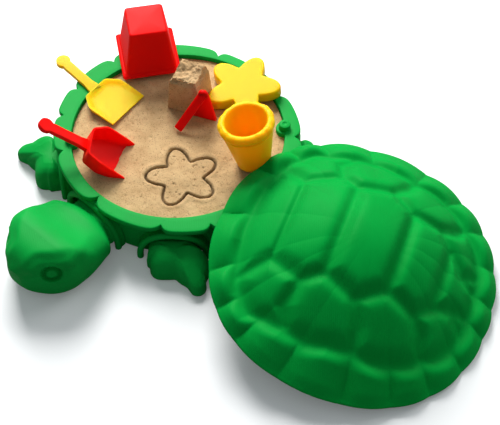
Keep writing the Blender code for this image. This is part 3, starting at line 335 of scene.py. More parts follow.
def baked(obj: bpy.types.Object, sharp: float = 40.0) -> bpy.types.Object:
    """Apply an object's modifiers to its mesh.

    Args:
        obj: The object.
        sharp: Edges that turn by more degrees than this stay crisp.

    Returns:
        The same object with a plain mesh.
    """
    bpy.context.view_layer.update()
    graph = bpy.context.evaluated_depsgraph_get()
    mesh = bpy.data.meshes.new_from_object(obj.evaluated_get(graph))
    obj.modifiers.clear()
    obj.data = mesh
    shaded(mesh, sharp)
    return obj


def softened(obj: bpy.types.Object, width: float, segments: int = 3, angle: float = 35.0) -> bpy.types.Object:
    """Round the edges of a piece as moulded plastic has them.

    Args:
        obj: The piece.
        width: Width of the round edge.
        segments: Number of steps round it.
        angle: Degrees above which an edge is rounded.

    Returns:
        The same piece.
    """
    modifier = obj.modifiers.new("Soft edges", "BEVEL")
    modifier.width = width
    modifier.segments = segments
    modifier.limit_method = "ANGLE"
    modifier.angle_limit = math.radians(angle)
    return baked(obj, 50.0)


def moved(points: Array, matrix: Matrix) -> Array:
    """Points after a matrix."""
    turn = np.array(matrix.to_3x3())
    return np.asarray(points) @ turn.T + np.array(matrix.translation)


def stood(rings: Sequence[Array], matrix: Matrix, place: Pair, ground: float) -> list[Array]:
    """Rings turned by a matrix, moved to a place and set down at a height.

    Args:
        rings: Rings of points.
        matrix: Their turn.
        place: Their place in the ground plane.
        ground: Height of their lowest point.

    Returns:
        The rings where they stand.
    """
    turned = [moved(ring, matrix) for ring in rings]
    lowest = min(float(ring[:, 2].min()) for ring in turned)
    shift = np.array([*place, ground - lowest])
    return [ring + shift for ring in turned]


def slab(name: str, root: Array, outline: Array, axis: Array, side: Array, thick: float,
         edge: float) -> bpy.types.Object:
    """Flat piece of moulded plastic with round edges.

    Args:
        name: Name of the piece.
        root: Where its outline starts.
        outline: Points along the axis and across it.
        axis: Direction along the piece.
        side: Direction across it.
        thick: Its thickness.
        edge: Radius of its edges.

    Returns:
        The piece.
    """
    lift = np.cross(axis, side)
    rings = [root + outline[:, :1] * axis + outline[:, 1:] * side + lift * (level * thick)
             for level in (-0.5, 0.5)]
    return softened(loft(name, rings), edge, 4, 40.0)


# ---------------------------------------------------------------- finishes

class NodeGraph:
    """Node tree to which nodes are added with their inputs set or linked."""

    def __init__(self, tree: bpy.types.NodeTree) -> None:
        """Take the tree that the nodes go into.

        Args:
            tree: The tree.
        """
        self.nodes = tree.nodes
        self.links = tree.links

    def feed(self, node: bpy.types.Node, inputs: Mapping[str | int, object]) -> None:
        """Set or link inputs of a node.

        Args:
            node: The node.
            inputs: Fixed value or source socket of each input, by its name or number.
        """
        for key, value in inputs.items():
            if isinstance(value, bpy.types.NodeSocket):
                self.links.new(value, node.inputs[key])
            else:
                node.inputs[key].default_value = value

    def add(self, kind: str, inputs: Mapping[str | int, object] | None = None,
            **settings: object) -> bpy.types.Node:
        """Add a node.

        Args:
            kind: Blender's name for the kind of node.
            inputs: Fixed value or source socket of each input, by its name or number.
            **settings: Properties of the node itself, such as its operation.

        Returns:
            The new node.
        """
        node = self.nodes.new(kind)
        for key, value in settings.items():
            setattr(node, key, value)
        self.feed(node, inputs or {})
        return node

    def place(self) -> bpy.types.NodeSocket:
        """Places on the piece, in its own coordinates."""
        return self.add("ShaderNodeTexCoord").outputs["Object"]

    def number(self, operation: str, *values: object) -> bpy.types.NodeSocket:
        """Result of a sum on numbers."""
        return self.add("ShaderNodeMath", dict(enumerate(values)), operation=operation).outputs["Value"]

    def along(self, vector: bpy.types.NodeSocket, way: Triple) -> bpy.types.NodeSocket:
        """How far a vector runs along a fixed direction."""
        values = {0: vector, 1: way}
        return self.add("ShaderNodeVectorMath", values, operation="DOT_PRODUCT").outputs["Value"]

    def wave(self, value: bpy.types.NodeSocket, length: float) -> bpy.types.NodeSocket:
        """Sine wave of a given length along a value."""
        return self.number("SINE", self.number("MULTIPLY", value, 2.0 * math.pi / length))

    def noise(self, place: bpy.types.NodeSocket, scale: float, detail: float = 2.0,
              roughness: float = 0.5) -> bpy.types.NodeSocket:
        """Soft noise over the places of a piece, about 0 to 1.

        Args:
            place: Places on the piece.
            scale: Fineness of the noise.
            detail: Number of finer layers.
            roughness: Weight of the finer layers.

        Returns:
            The noise.
        """
        values = {"Vector": place, "Scale": scale, "Detail": detail, "Roughness": roughness}
        return self.add("ShaderNodeTexNoise", values).outputs["Fac"]

    def carried(self, value: bpy.types.NodeSocket, source: Pair, target: Pair) -> bpy.types.NodeSocket:
        """Value carried from one range to another, and held at its ends."""
        values = {"Value": value, "From Min": source[0], "From Max": source[1],
                  "To Min": target[0], "To Max": target[1]}
        return self.add("ShaderNodeMapRange", values).outputs["Result"]

    def mixed(self, share: bpy.types.NodeSocket, first: object, second: object) -> bpy.types.NodeSocket:
        """Colour between two others, each a socket or a fixed colour."""
        values = {"Factor": share, "A": first, "B": second}
        return self.add("ShaderNodeMix", values, data_type="RGBA").outputs["Result"]

    def ramp(self, share: bpy.types.NodeSocket, positions: Pair,
             colours: tuple[Triple, Triple]) -> bpy.types.NodeSocket:
        """Blend of two colours.

        Args:
            share: What the blend follows.
            positions: Where the first colour ends and where the second begins.
            colours: The two colours.

        Returns:
            The blend.
        """
        node = self.add("ShaderNodeValToRGB", {"Fac": share})
        for element, position, colour in zip(node.color_ramp.elements, positions, colours):
            element.position = position
            element.color = (*colour, 1.0)
        return node.outputs["Color"]

    def bump(self, height: bpy.types.NodeSocket, strength: object, distance: float,
             normal: bpy.types.NodeSocket | None = None, invert: bool = False) -> bpy.types.NodeSocket:
        """Normal of a skin with a fine relief.

        Args:
            height: Height of the relief.
            strength: Weight of the relief, a number or a socket.
            distance: Depth of the relief in metres.
            normal: Normal of the skin beneath, if that has a relief already.
            invert: Whether the relief goes inwards.

        Returns:
            The normal.
        """
        values = {"Height": height, "Strength": strength, "Distance": distance}
        if normal is not None:
            values["Normal"] = normal
        return self.add("ShaderNodeBump", values, invert=invert).outputs["Normal"]


def new_material(name: str) -> tuple[bpy.types.Material, NodeGraph, bpy.types.Node]:
    """New material, with the graph of its nodes and its plain shader."""
    material = bpy.data.materials.new(name)
    material.use_nodes = True
    graph = NodeGraph(material.node_tree)
    return material, graph, graph.nodes["Principled BSDF"]


@dataclass(frozen=True)
class PrintedPlastic:
    """Layer-printed or moulded plastic: gloss, a slow change of tone and fine layer lines.

    Attributes:
        name: Name of the material.
        colour: Linear colour.
        shade: Linear colour of the slightly deeper patches.
        roughness: Surface roughness.
        pitch: Height of one printed layer, or 0 for moulded plastic.
        depth: Depth of the grooves between layers.
        hatch: Direction across the fine lines on level tops.
        axis: Direction in which the layers were stacked.
        glow: Weight of the light that the plastic scatters inside.
        glow_reach: How far that light travels.
        glow_tint: Share of that reach for red, green and blue.
        shine: Strength of the reflection.
        refraction: Index of refraction.
        patch_scale: Fineness of the patches of tone.
        patch_edges: Noise at which the shade ends and the colour begins.
        gloss_change: Change of the roughness from one patch to another.
        grain_scale: Fineness of the skin's grain.
        grain_depth: Depth of that grain.
        sway_scale: Fineness of the sway of the layers.
        sway: Size of the sway, as a share of the pitch.
        level_fade: Steepness at which the ribs of the layers are faintest and where they are full.
        level_rib: Weight of the ribs on level tops.
    """

    name: str
    colour: Triple
    shade: Triple
    roughness: float = 0.48
    pitch: float = 0.00022
    depth: float = 0.000014
    hatch: Triple = (0.743, 0.669, 0.0)
    axis: Triple = UP
    glow: float = 0.0
    glow_reach: float = 0.0015
    glow_tint: Triple = (1.0, 0.42, 0.10)
    shine: float = 0.06
    refraction: float = 1.46
    patch_scale: float = 45.0
    patch_edges: Pair = (0.30, 0.70)
    gloss_change: Pair = (-0.05, 0.07)
    grain_scale: float = 1800.0
    grain_depth: float = 0.000012
    sway_scale: float = 60.0
    sway: float = 0.5
    level_fade: Pair = (0.98, 0.80)
    level_rib: float = 0.12

    def material(self) -> bpy.types.Material:
        """Build the material."""
        material, graph, shader = new_material(self.name)
        place = graph.place()
        patches = graph.noise(place, self.patch_scale, 3.0)
        glossy, dull = (self.roughness + change for change in self.gloss_change)
        normal = graph.bump(graph.noise(place, self.grain_scale), 1.0, self.grain_depth)
        if self.pitch > 0.0:
            normal = self.layer_lines(graph, place, normal)
        graph.feed(shader, {
            "Base Color": graph.ramp(patches, self.patch_edges, (self.shade, self.colour)),
            "Roughness": graph.carried(patches, (0.0, 1.0), (glossy, dull)),
            "IOR": self.refraction,
            "Specular IOR Level": self.shine,
            "Subsurface Weight": self.glow,
            "Subsurface Radius": self.glow_tint,
            "Subsurface Scale": self.glow_reach,
            "Normal": normal})
        material.diffuse_color = (*self.colour, 1.0)
        return material

    def layer_lines(self, graph: NodeGraph, place: bpy.types.NodeSocket,
                    normal: bpy.types.NodeSocket) -> bpy.types.NodeSocket:
        """Add the uneven ribs of the printed layers, and the fine lines that the print head left.

        Args:
            graph: Graph of the material.
            place: Places on the piece.
            normal: Normal of the skin beneath.

        Returns:
            The normal with both.
        """
        waver = graph.noise(place, self.sway_scale)
        layers = graph.number("MULTIPLY_ADD", waver, self.pitch * self.sway, graph.along(place, self.axis))
        facing = graph.add("ShaderNodeNewGeometry").outputs["Normal"]
        steep = graph.carried(graph.along(facing, self.axis), self.level_fade, (self.level_rib, 1.0))
        ribs = graph.bump(graph.wave(layers, self.pitch), steep, self.depth, normal)
        lines = graph.wave(graph.along(place, self.hatch), self.pitch * 4.0)
        return graph.bump(lines, 0.5, self.depth, ribs)


@dataclass(frozen=True)
class Sand:
    """Fine sand: mixed pale and dark grains over a warm ground, no gloss.

    Attributes:
        name: Name of the material.
        pale: Linear colour of the pale grains.
        ground: Linear colour between them.
        dark: Linear colour of the few dark grains.
        grain: Size of one grain.
        depth: Depth of the grain relief.
        clump_scale: Fineness of the clumps of grains.
        clump_edges: Noise at which the ground ends and the pale grains begin.
        clump_depth: Depth of the clumps, in grain depths.
        dark_edges: Share of the grains above which they turn dark.
        dark_weight: Weight of the dark colour.
        shade_levels: Heights between which the painted shade of sunk sand, as in grooves, fades out.
        shade_tone: Tone of that painted shade, beside the sand above it.
    """

    name: str
    pale: Triple
    ground: Triple
    dark: Triple
    grain: float = 0.00035
    depth: float = 0.00012
    clump_scale: float = 90.0
    clump_edges: Pair = (0.32, 0.62)
    clump_depth: float = 6.0
    dark_edges: Pair = (0.90, 0.97)
    dark_weight: float = 0.60
    shade_levels: Pair = (0.0205, 0.0219)
    shade_tone: float = 0.40

    def material(self) -> bpy.types.Material:
        """Build the material."""
        material, graph, shader = new_material(self.name)
        place = graph.place()
        clumps = graph.noise(place, self.clump_scale, 6.0, 0.65)
        tone = graph.ramp(clumps, self.clump_edges, (self.ground, self.pale))
        grains = graph.add("ShaderNodeTexVoronoi", {"Vector": place, "Scale": 1.0 / self.grain})
        pick = graph.add("ShaderNodeSeparateColor", {"Color": grains.outputs["Color"]}).outputs["Red"]
        speck = graph.carried(pick, self.dark_edges, (0.0, self.dark_weight))
        colour = graph.mixed(speck, tone, (*self.dark, 1.0))
        # Painted shade: sand below the surface, as in the grooves of the star print, is drawn darker the
        # deeper it lies.
        height = graph.add("ShaderNodeSeparateXYZ", {"Vector": place}).outputs["Z"]
        shade_factor = graph.carried(height, self.shade_levels, (self.shade_tone, 1.0))
        damp_and_shade = graph.add("ShaderNodeVectorMath", {0: colour, "Scale": shade_factor}, operation="SCALE")
        relief = graph.bump(grains.outputs["Distance"], 0.9, self.depth, invert=True)
        graph.feed(shader, {
            "Base Color": damp_and_shade.outputs["Vector"],
            "Roughness": 0.95,
            "Specular IOR Level": 0.15,
            "Normal": graph.bump(clumps, 0.8, self.depth * self.clump_depth, relief)})
        material.diffuse_color = (*self.pale, 1.0)
        return material


class Finishes:
    """Every finish of the object, each built once."""

    def __init__(self, cover_axis: Vector) -> None:
        """Build the materials.

        Args:
            cover_axis: Direction in which the cover's layers were stacked.
        """
        self.green = PrintedPlastic(
            "green_print", (0.001, 0.330, 0.045), (0.001, 0.290, 0.038), shine=0.07).material()
        self.shell = PrintedPlastic(
            "shell_print", (0.0004, 0.315, 0.041), (0.0004, 0.272, 0.034), depth=0.000026,
            axis=tuple(cover_axis), shine=0.03).material()
        self.red = PrintedPlastic(
            "red_plastic", (0.92, 0.004, 0.002), (0.86, 0.003, 0.002), roughness=0.40, pitch=0.0,
            glow=0.50, glow_reach=0.0050, shine=0.06).material()
        self.yellow = PrintedPlastic(
            "yellow_plastic", (0.95, 0.51, 0.004), (0.93, 0.48, 0.003), roughness=0.40, pitch=0.0,
            glow=0.70, glow_reach=0.0075, shine=0.08).material()
        self.sand = Sand("fine_sand", (0.56, 0.38, 0.19), (0.44, 0.28, 0.13), (0.13, 0.07, 0.03)).material()
        self.damp_and_shade = Sand(
            "damp_sand", (0.53, 0.35, 0.18), (0.40, 0.24, 0.11), (0.12, 0.07, 0.03), grain=0.0004).material()


def dress(piece: bpy.types.Object, material: bpy.types.Material, body: Body,
          replaces: Sequence[str] = ()) -> bpy.types.Object:
    """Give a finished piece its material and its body.

    Args:
        piece: The finished piece.
        material: Its finish.
        body: The body that it rides on.
        replaces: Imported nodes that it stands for.

    Returns:
        The piece.
    """
    piece.data.materials.clear()
    piece.data.materials.append(material)
    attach(piece, body.value)
    if replaces:
        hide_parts(*replaces)
    LOG.info("%s: %d faces", piece.name, len(piece.data.polygons))
    return piece


# ---------------------------------------------------------------- tub

@dataclass
class Hood:
    """Arched hood that stands off the tub's wall round a limb, with a round bead at its mouth."""

    name: str
    outward: Array
    half_width: float
    height: float
    reach: float
    wall: float = 0.0020
    bead: float = 0.0017
    root: float = 0.0575
    exponent: float = 2.5
    steps: int = 48
    bead_steps: int = 16

    def arch(self) -> tuple[Array, Array]:
        """Middle line of the arch, across and up, and its outward normals.

        Returns:
            The points and the unit normals, in two columns each.
        """
        turn = np.linspace(math.pi, 0.0, self.steps + 1)
        power = 2.0 / self.exponent
        across = np.sign(np.cos(turn)) * np.abs(np.cos(turn)) ** power * (self.half_width - self.wall / 2.0)
        up = np.abs(np.sin(turn)) ** power * (self.height - self.wall / 2.0)
        points = np.stack([across, up + GAP], axis=1)
        run = np.gradient(points, axis=0)
        return points, unit(np.stack([-run[:, 1], run[:, 0]], axis=1))

    def section(self) -> list[Pair]:
        """Outline of the wall and bead: reach from the tub's middle, and offset from the arch."""
        half = self.wall / 2.0
        meet = math.acos(half / self.bead)
        points = [(self.root, half)]
        for i in range(self.bead_steps + 1):
            turn = math.pi / 2.0 + meet - (math.pi + 2.0 * meet) * i / self.bead_steps
            points.append((self.reach + self.bead * math.cos(turn), self.bead * math.sin(turn)))
        points.append((self.root, -half))
        return points

    def build(self) -> bpy.types.Object:
        """Sweep the section along the arch."""
        points, normals = self.arch()
        across = np.cross(self.outward, UP)
        rings = []
        for (x, z), (nx, nz) in zip(points, normals):
            ring = []
            for reach, offset in self.section():
                side = x + nx * offset
                height = max(z + nz * offset, 0.0001)
                ring.append(self.outward * reach + across * side + np.array([0.0, 0.0, height]))
            rings.append(np.array(ring))
        return loft(self.name, rings, 45.0)


@dataclass
class Basin:
    """Round tub with a scalloped flange, two peg pads and a hood for each limb."""

    rim_height: float = RIM_HEIGHT
    rim_thickness: float = 0.0030
    inner_radius: float = RIM_INNER_RADIUS
    half_width: float = 0.0676
    front_length: float = 0.0638
    rear_length: float = 0.0624
    notch_angles: tuple[float, ...] = (0.0, 36.0, 59.0, 77.0, 102.0, 129.0, 158.0, 180.0)
    notch_depth: float = 0.0038
    front_notch_depth: float = 0.0058
    notch_power: int = 7
    hole_edge: float = 0.0004
    outer_edge: float = 0.0009
    wall: float = 0.0028
    foot_radius: float = 0.0575
    floor: float = 0.0030
    peg_radius: float = 0.0031
    peg_stand: float = 0.0033
    peg_sunk: float = 0.0017
    peg_nodes: tuple[str, str] = ("locating_peg_rear", "locating_peg_front")
    pitch_radius: float = RIM_INNER_RADIUS
    pad_radius: float = 0.0046
    peg_angles: Pair = (45.0, 228.0)
    skirt: float = 0.0012
    link_corners: tuple[Pair, ...] = (
        (-0.0050, -0.0560), (0.0044, -0.0560), (0.0034, -0.0612), (-0.0036, -0.0612))
    link_heights: Pair = (0.0188, 0.0222)
    link_edge: float = 0.0004
    steps: int = 900

    def outer_reach(self, turn: Array) -> Array:
        """Reach of the scalloped edge, by radians from +X.

        Args:
            turn: Turns round the tub.

        Returns:
            The reach at each turn.
        """
        degrees = np.degrees(turn)
        phi = np.abs((degrees + 90.0 + 180.0) % 360.0 - 180.0)
        radians = np.radians(phi)
        length = np.where(phi < 90.0, self.front_length, self.rear_length)
        reach = 1.0 / np.hypot(np.sin(radians) / self.half_width, np.cos(radians) / length)
        notches = np.array(self.notch_angles)
        depths = np.array([self.front_notch_depth] + [self.notch_depth] * (len(notches) - 1))
        index = np.clip(np.searchsorted(notches, phi, side="right") - 1, 0, len(notches) - 2)
        share = (phi - notches[index]) / (notches[index + 1] - notches[index])
        depth = depths[index] + share * (depths[index + 1] - depths[index])
        return reach - depth * np.abs(2.0 * share - 1.0) ** self.notch_power

    def inner_reach(self, turn: Array) -> Array:
        """Radius of the flange's hole, drawn in at the two peg pads.

        Args:
            turn: Turns round the tub.

        Returns:
            The radius at each turn.
        """
        reach = np.full(turn.shape, self.inner_radius)
        for peg in self.peg_angles:
            offset = (turn - math.radians(peg) + math.pi) % (2.0 * math.pi) - math.pi
            side = self.pitch_radius * np.sin(offset)
            near = self.pitch_radius * np.cos(offset)
            hidden = (np.abs(side) < self.pad_radius) & (near > 0.0)
            pad = near - np.sqrt(np.maximum(self.pad_radius ** 2 - side ** 2, 0.0))
            reach = np.where(hidden, np.minimum(pad, reach), reach)
        return reach

    def shell(self) -> bpy.types.Object:
        """Tub and flange as one lofted shell with soft edges."""
        turn = full_turn(self.steps)
        outer, inner = self.outer_reach(turn), self.inner_reach(turn)
        top, under = self.rim_height, self.rim_height - self.rim_thickness
        lip = self.inner_radius + 0.0004
        body = lip + self.wall
        foot = body + self.skirt
        middle = 0.0002
        # From the middle of the floor up the inside, over the flange and down the outside.
        profile: list[tuple[Array | float, float]] = [
            (middle, self.floor), (self.foot_radius - self.wall, self.floor), (lip, top / 2.0),
            (lip, under - 0.0001), (inner, under)]
        profile += soft_edge(inner, top, self.hole_edge, (0.0, 30.0, 60.0, 90.0), -1)
        profile += [(inner * 0.7 + outer * 0.3, top), (inner * 0.3 + outer * 0.7, top)]
        profile += soft_edge(outer, top, self.outer_edge, (90.0, 70.0, 50.0, 30.0, 10.0, -10.0))
        profile += [
            (outer, under + 0.0005), (outer - 0.0004, under), (body + 0.0008, under), (body, under - 0.0008),
            (body + 0.0002, top * 0.6), (foot - 0.0006, 0.0050), (foot, 0.0015), (foot - 0.0004, 0.0004),
            (foot - 0.0015, 0.0), (middle, 0.0)]
        return loft("tub_shell", [round_ring(turn, reach, height) for reach, height in profile], 50.0)

    def link(self) -> bpy.types.Object:
        """Small flat tab that ties the neck hood to the flange's front notch."""
        rings = [np.array([(x, y, height) for x, y in self.link_corners]) for height in self.link_heights]
        return softened(loft("neck_link", rings), self.link_edge)

    def hoods(self) -> list[bpy.types.Object]:
        """Hoods of the neck, the legs and the tail."""
        hoods = [Hood("neck_hood", from_front(2.7, -1), half_width=0.0199, height=0.0204, reach=0.0614)]
        for name, angle in (("front", FRONT_LEG_ANGLE), ("rear", REAR_LEG_ANGLE)):
            for label, side in (("left", 1), ("right", -1)):
                hoods.append(Hood(f"{name}_{label}_hood", from_front(angle, side),
                                  half_width=0.0180, height=0.0186, reach=0.0626))
        hoods.append(Hood("tail_hood", from_front(180.0), half_width=0.0085, height=0.0125, reach=0.0625))
        return [hood.build() for hood in hoods]

    def pegs(self) -> list[bpy.types.Object]:
        """Locating pegs: short round studs with a soft rim and a shallow dimple."""
        top = self.rim_height + self.peg_stand
        radius = self.peg_radius
        profile = [(radius, self.rim_height - self.peg_sunk), (radius, top - 0.0006),
                   (radius - 0.0002, top - 0.0002), (radius - 0.0006, top), (radius * 0.45, top),
                   (radius * 0.32, top - 0.0003), (radius * 0.02, top - 0.0004)]
        turn = full_turn(48)
        built = []
        for name, angle in zip(self.peg_nodes, self.peg_angles):
            centre = direction(angle) * self.pitch_radius
            rings = [round_ring(turn, reach, height) + centre for reach, height in profile]
            built.append(loft(name + "_stud", rings, 35.0))
        return built

    def build(self, finishes: Finishes) -> None:
        """Make and dress every piece of the tub.

        Args:
            finishes: The finishes of the object.
        """
        shell = self.shell()
        dress(shell, finishes.green, Body.TUB, ["basin"])
        for piece in self.hoods() + [self.link()]:
            dress(piece, finishes.green, Body.TUB)
        for piece, node in zip(self.pegs(), self.peg_nodes):
            dress(piece, finishes.green, Body.TUB, [node])


# ---------------------------------------------------------------- head, legs and tail

@dataclass
class Head:
    """Broad wedge-shaped head with heavy brows, ringed eyes and a small beak."""

    root: float = 0.0600
    tip: float = 0.1158
    nose: float = 0.1170
    neck_half: float = 0.0152
    jowl_half: float = 0.0215
    half: float = 0.0242
    widest: float = 0.0940
    neck_height: float = 0.0080
    height: float = 0.0172
    ground_gap: float = 0.0004
    neck_rise: float = 0.0016
    nape_rise: float = 0.0083
    brow_rise: float = 0.0148
    brow_start: float = 0.0984
    crown: float = 2.10
    crown_square: float = 0.50
    crown_sharp: float = 0.85
    exponent: float = 2.25
    jaw_exponent: float = 3.0
    crown_cap: float = 0.80
    crown_soft: float = 0.030
    # Distances forward between which a form comes in, or its middle and its spread.
    jowl_span: Pair = (0.0655, 0.0725)
    swell_span: Pair = (0.0710, 0.0900)
    lift_span: Pair = (0.0650, 0.0065)
    brow_span: Pair = (0.0770, 0.0970)
    neck_span: Pair = (0.0760, 0.0680)
    square_span: Pair = (0.0860, 0.0050)
    sharp_span: Pair = (0.1070, 0.0085)
    free_span: Pair = (0.0690, 0.0800)
    face_span: Pair = (0.0820, 0.0940)
    brow_level: float = 0.0262
    brow_swell: float = 0.0016
    brow_dip: float = 0.0020
    ridge_above: float = 0.0012
    ridge_half: float = 0.0017
    ridge_height: float = 0.0007
    cheek_depth: float = 0.0017
    beak_length: float = 0.0010
    mouth_level: float = 0.0092
    mouth_half: float = 0.0006
    mouth_depth: float = 0.0004
    eye: Triple = (0.0152, -0.1041, 0.0213)
    eye_facing: Triple = (0.59, -0.51, 0.62)
    eye_flatness: float = 0.80
    # Radius, half width and height of the eye's ring and of the groove within it.
    eye_ring: Triple = (0.0058, 0.0006, 0.00055)
    eye_groove: Triple = (0.0041, 0.0010, -0.00235)
    iris_depth: float = 0.0002
    pupil: Pair = (0.0027, 0.0019)
    pupil_height: float = 0.00060
    rows: int = 170
    columns: int = 260

    def section_values(self, forward: Array) -> tuple[Array, ...]:
        """Shape of the section at each distance forward.

        Args:
            forward: Distances from the tub's middle.

        Returns:
            Half width, centre height, rise above it, drop below it and exponent of the crown.
        """
        jowl = smooth_step(*self.jowl_span, forward)
        swell = smooth_step(*self.swell_span, forward)
        snout = np.clip((forward - self.widest) / (self.nose - self.widest), 0.0, 1.0)
        width = self.neck_half + (self.jowl_half - self.neck_half) * jowl
        width = (width + (self.half - self.jowl_half) * swell) * (1.0 - snout ** 2) ** 0.75
        start, spread = self.lift_span
        lift = 1.0 - np.exp(-np.maximum(forward - start, 0.0) / spread)
        centre = self.neck_height + (self.height - self.neck_height) * lift
        front = np.clip((forward - self.brow_start) / (self.nose - self.brow_start), 0.0, 1.0)
        taper = (1.0 - front ** 3) ** 0.6
        brow = (self.brow_rise - self.nape_rise) * smooth_step(*self.brow_span, forward)
        neck = self.neck_rise * smooth_step(*self.neck_span, forward)
        rise = (self.nape_rise + brow + neck) * taper
        drop = (centre - self.ground_gap) * taper
        square = self.crown_square * bell(forward, *self.square_span)
        sharp = self.crown_sharp * bell(forward, *self.sharp_span)
        return width, centre, rise, drop, self.crown + square - sharp

    def build(self, finishes: Finishes) -> None:
        """Sculpt the head and dress it.

        Args:
            finishes: The finishes of the object.
        """
        share = np.linspace(0.0, 1.0, self.rows)
        forward = self.root + (self.tip - self.root) * (1.0 - (1.0 - share) ** 1.25)
        half, centre, rise, drop, crown = self.section_values(forward)
        turn = full_turn(self.columns)
        cos, sin = np.cos(turn)[None, :], np.sin(turn)[None, :]
        free = smooth_step(*self.free_span, forward)[:, None]
        wanted = np.where(sin > 0.0, crown[:, None], self.jaw_exponent)
        power = 2.0 / (self.exponent + (wanted - self.exponent) * free)
        across = np.sign(cos) * np.abs(cos) ** power
        up = np.sign(sin) * np.abs(sin) ** power
        soft, cap = self.crown_soft, self.crown_cap
        flat = 1.0 - soft / cap * np.logaddexp(0.0, (cap - up) / soft)
        up = np.where(sin > 0.0, up + (flat - up) * free, up)
        x = half[:, None] * across
        z = np.where(up > 0.0, rise[:, None], drop[:, None]) * up
        points = np.stack([x, np.broadcast_to(-forward[:, None], x.shape), centre[:, None] + z], axis=2)
        points = self.sculpt(points)
        head = loft("turtle_head", list(points), 60.0)
        dress(head, finishes.green, Body.TUB, ["head"])

    def sculpt(self, points: Array) -> Array:
        """Move the skin of the head: brows, hollow cheeks, eye rings and beak.

        Args:
            points: Grid of skin points.

        Returns:
            The sculpted grid.
        """
        side = np.where(points[..., 0] < 0.0, -1.0, 1.0)
        x, y, z = np.abs(points[..., 0]), points[..., 1], points[..., 2]
        forward = -y
        facing = unit(np.array(self.eye_facing))
        front = smooth_step(*self.face_span, forward)
        brow = self.brow_level + self.brow_swell * smooth_step(0.096, 0.088, forward)
        brow = brow - self.brow_dip * smooth_step(0.106, 0.112, forward)
        below = smooth_step(0.0, 0.0032, brow - z) * smooth_step(-0.004, 0.004, z)
        cheek = below * smooth_step(0.004, 0.012, x) * front * self.cheek_depth
        ridge = bell(z, brow + self.ridge_above, self.ridge_half) * front * smooth_step(0.003, 0.010, x)
        mirrored = np.stack([x, y, z], axis=-1) + facing * (ridge * self.ridge_height - cheek)[..., None]
        mirrored = self.add_eye(mirrored, facing)
        beak = bell(x, 0.0, 0.0034) * bell(z, 0.0225, 0.0026) * smooth_step(0.1110, 0.1140, forward)
        mirrored[..., 1] -= beak * self.beak_length
        mouth = bell(z, self.mouth_level + 0.10 * np.maximum(x - 0.010, 0.0), self.mouth_half)
        mouth = mouth * smooth_step(0.098, 0.104, forward)
        mirrored = mirrored - facing * (mouth * self.mouth_depth)[..., None]
        mirrored[..., 0] *= side
        mirrored[..., 2] = np.maximum(mirrored[..., 2], 0.0002)
        return mirrored

    def add_eye(self, points: Array, facing: Array) -> Array:
        """Ring, groove and raised oval pupil of one eye, on points of the +X side.

        Args:
            points: Grid of skin points.
            facing: Direction in which the eye looks.

        Returns:
            The grid with the eye.
        """
        rel = points - np.array(self.eye)
        sideways = unit(np.cross(UP, facing))
        upward = np.cross(facing, sideways)
        u, v = rel @ sideways, rel @ upward
        distance = np.hypot(u, v / self.eye_flatness)
        height = smooth_step(1.15, 0.80, np.hypot(u / self.pupil[0], v / self.pupil[1])) * self.pupil_height
        height = height - smooth_step(0.0034, 0.0024, distance) * self.iris_depth
        for radius, half, rise in (self.eye_ring, self.eye_groove):
            height = height + bell(distance, radius, half) * rise
        return points + facing * height[..., None]


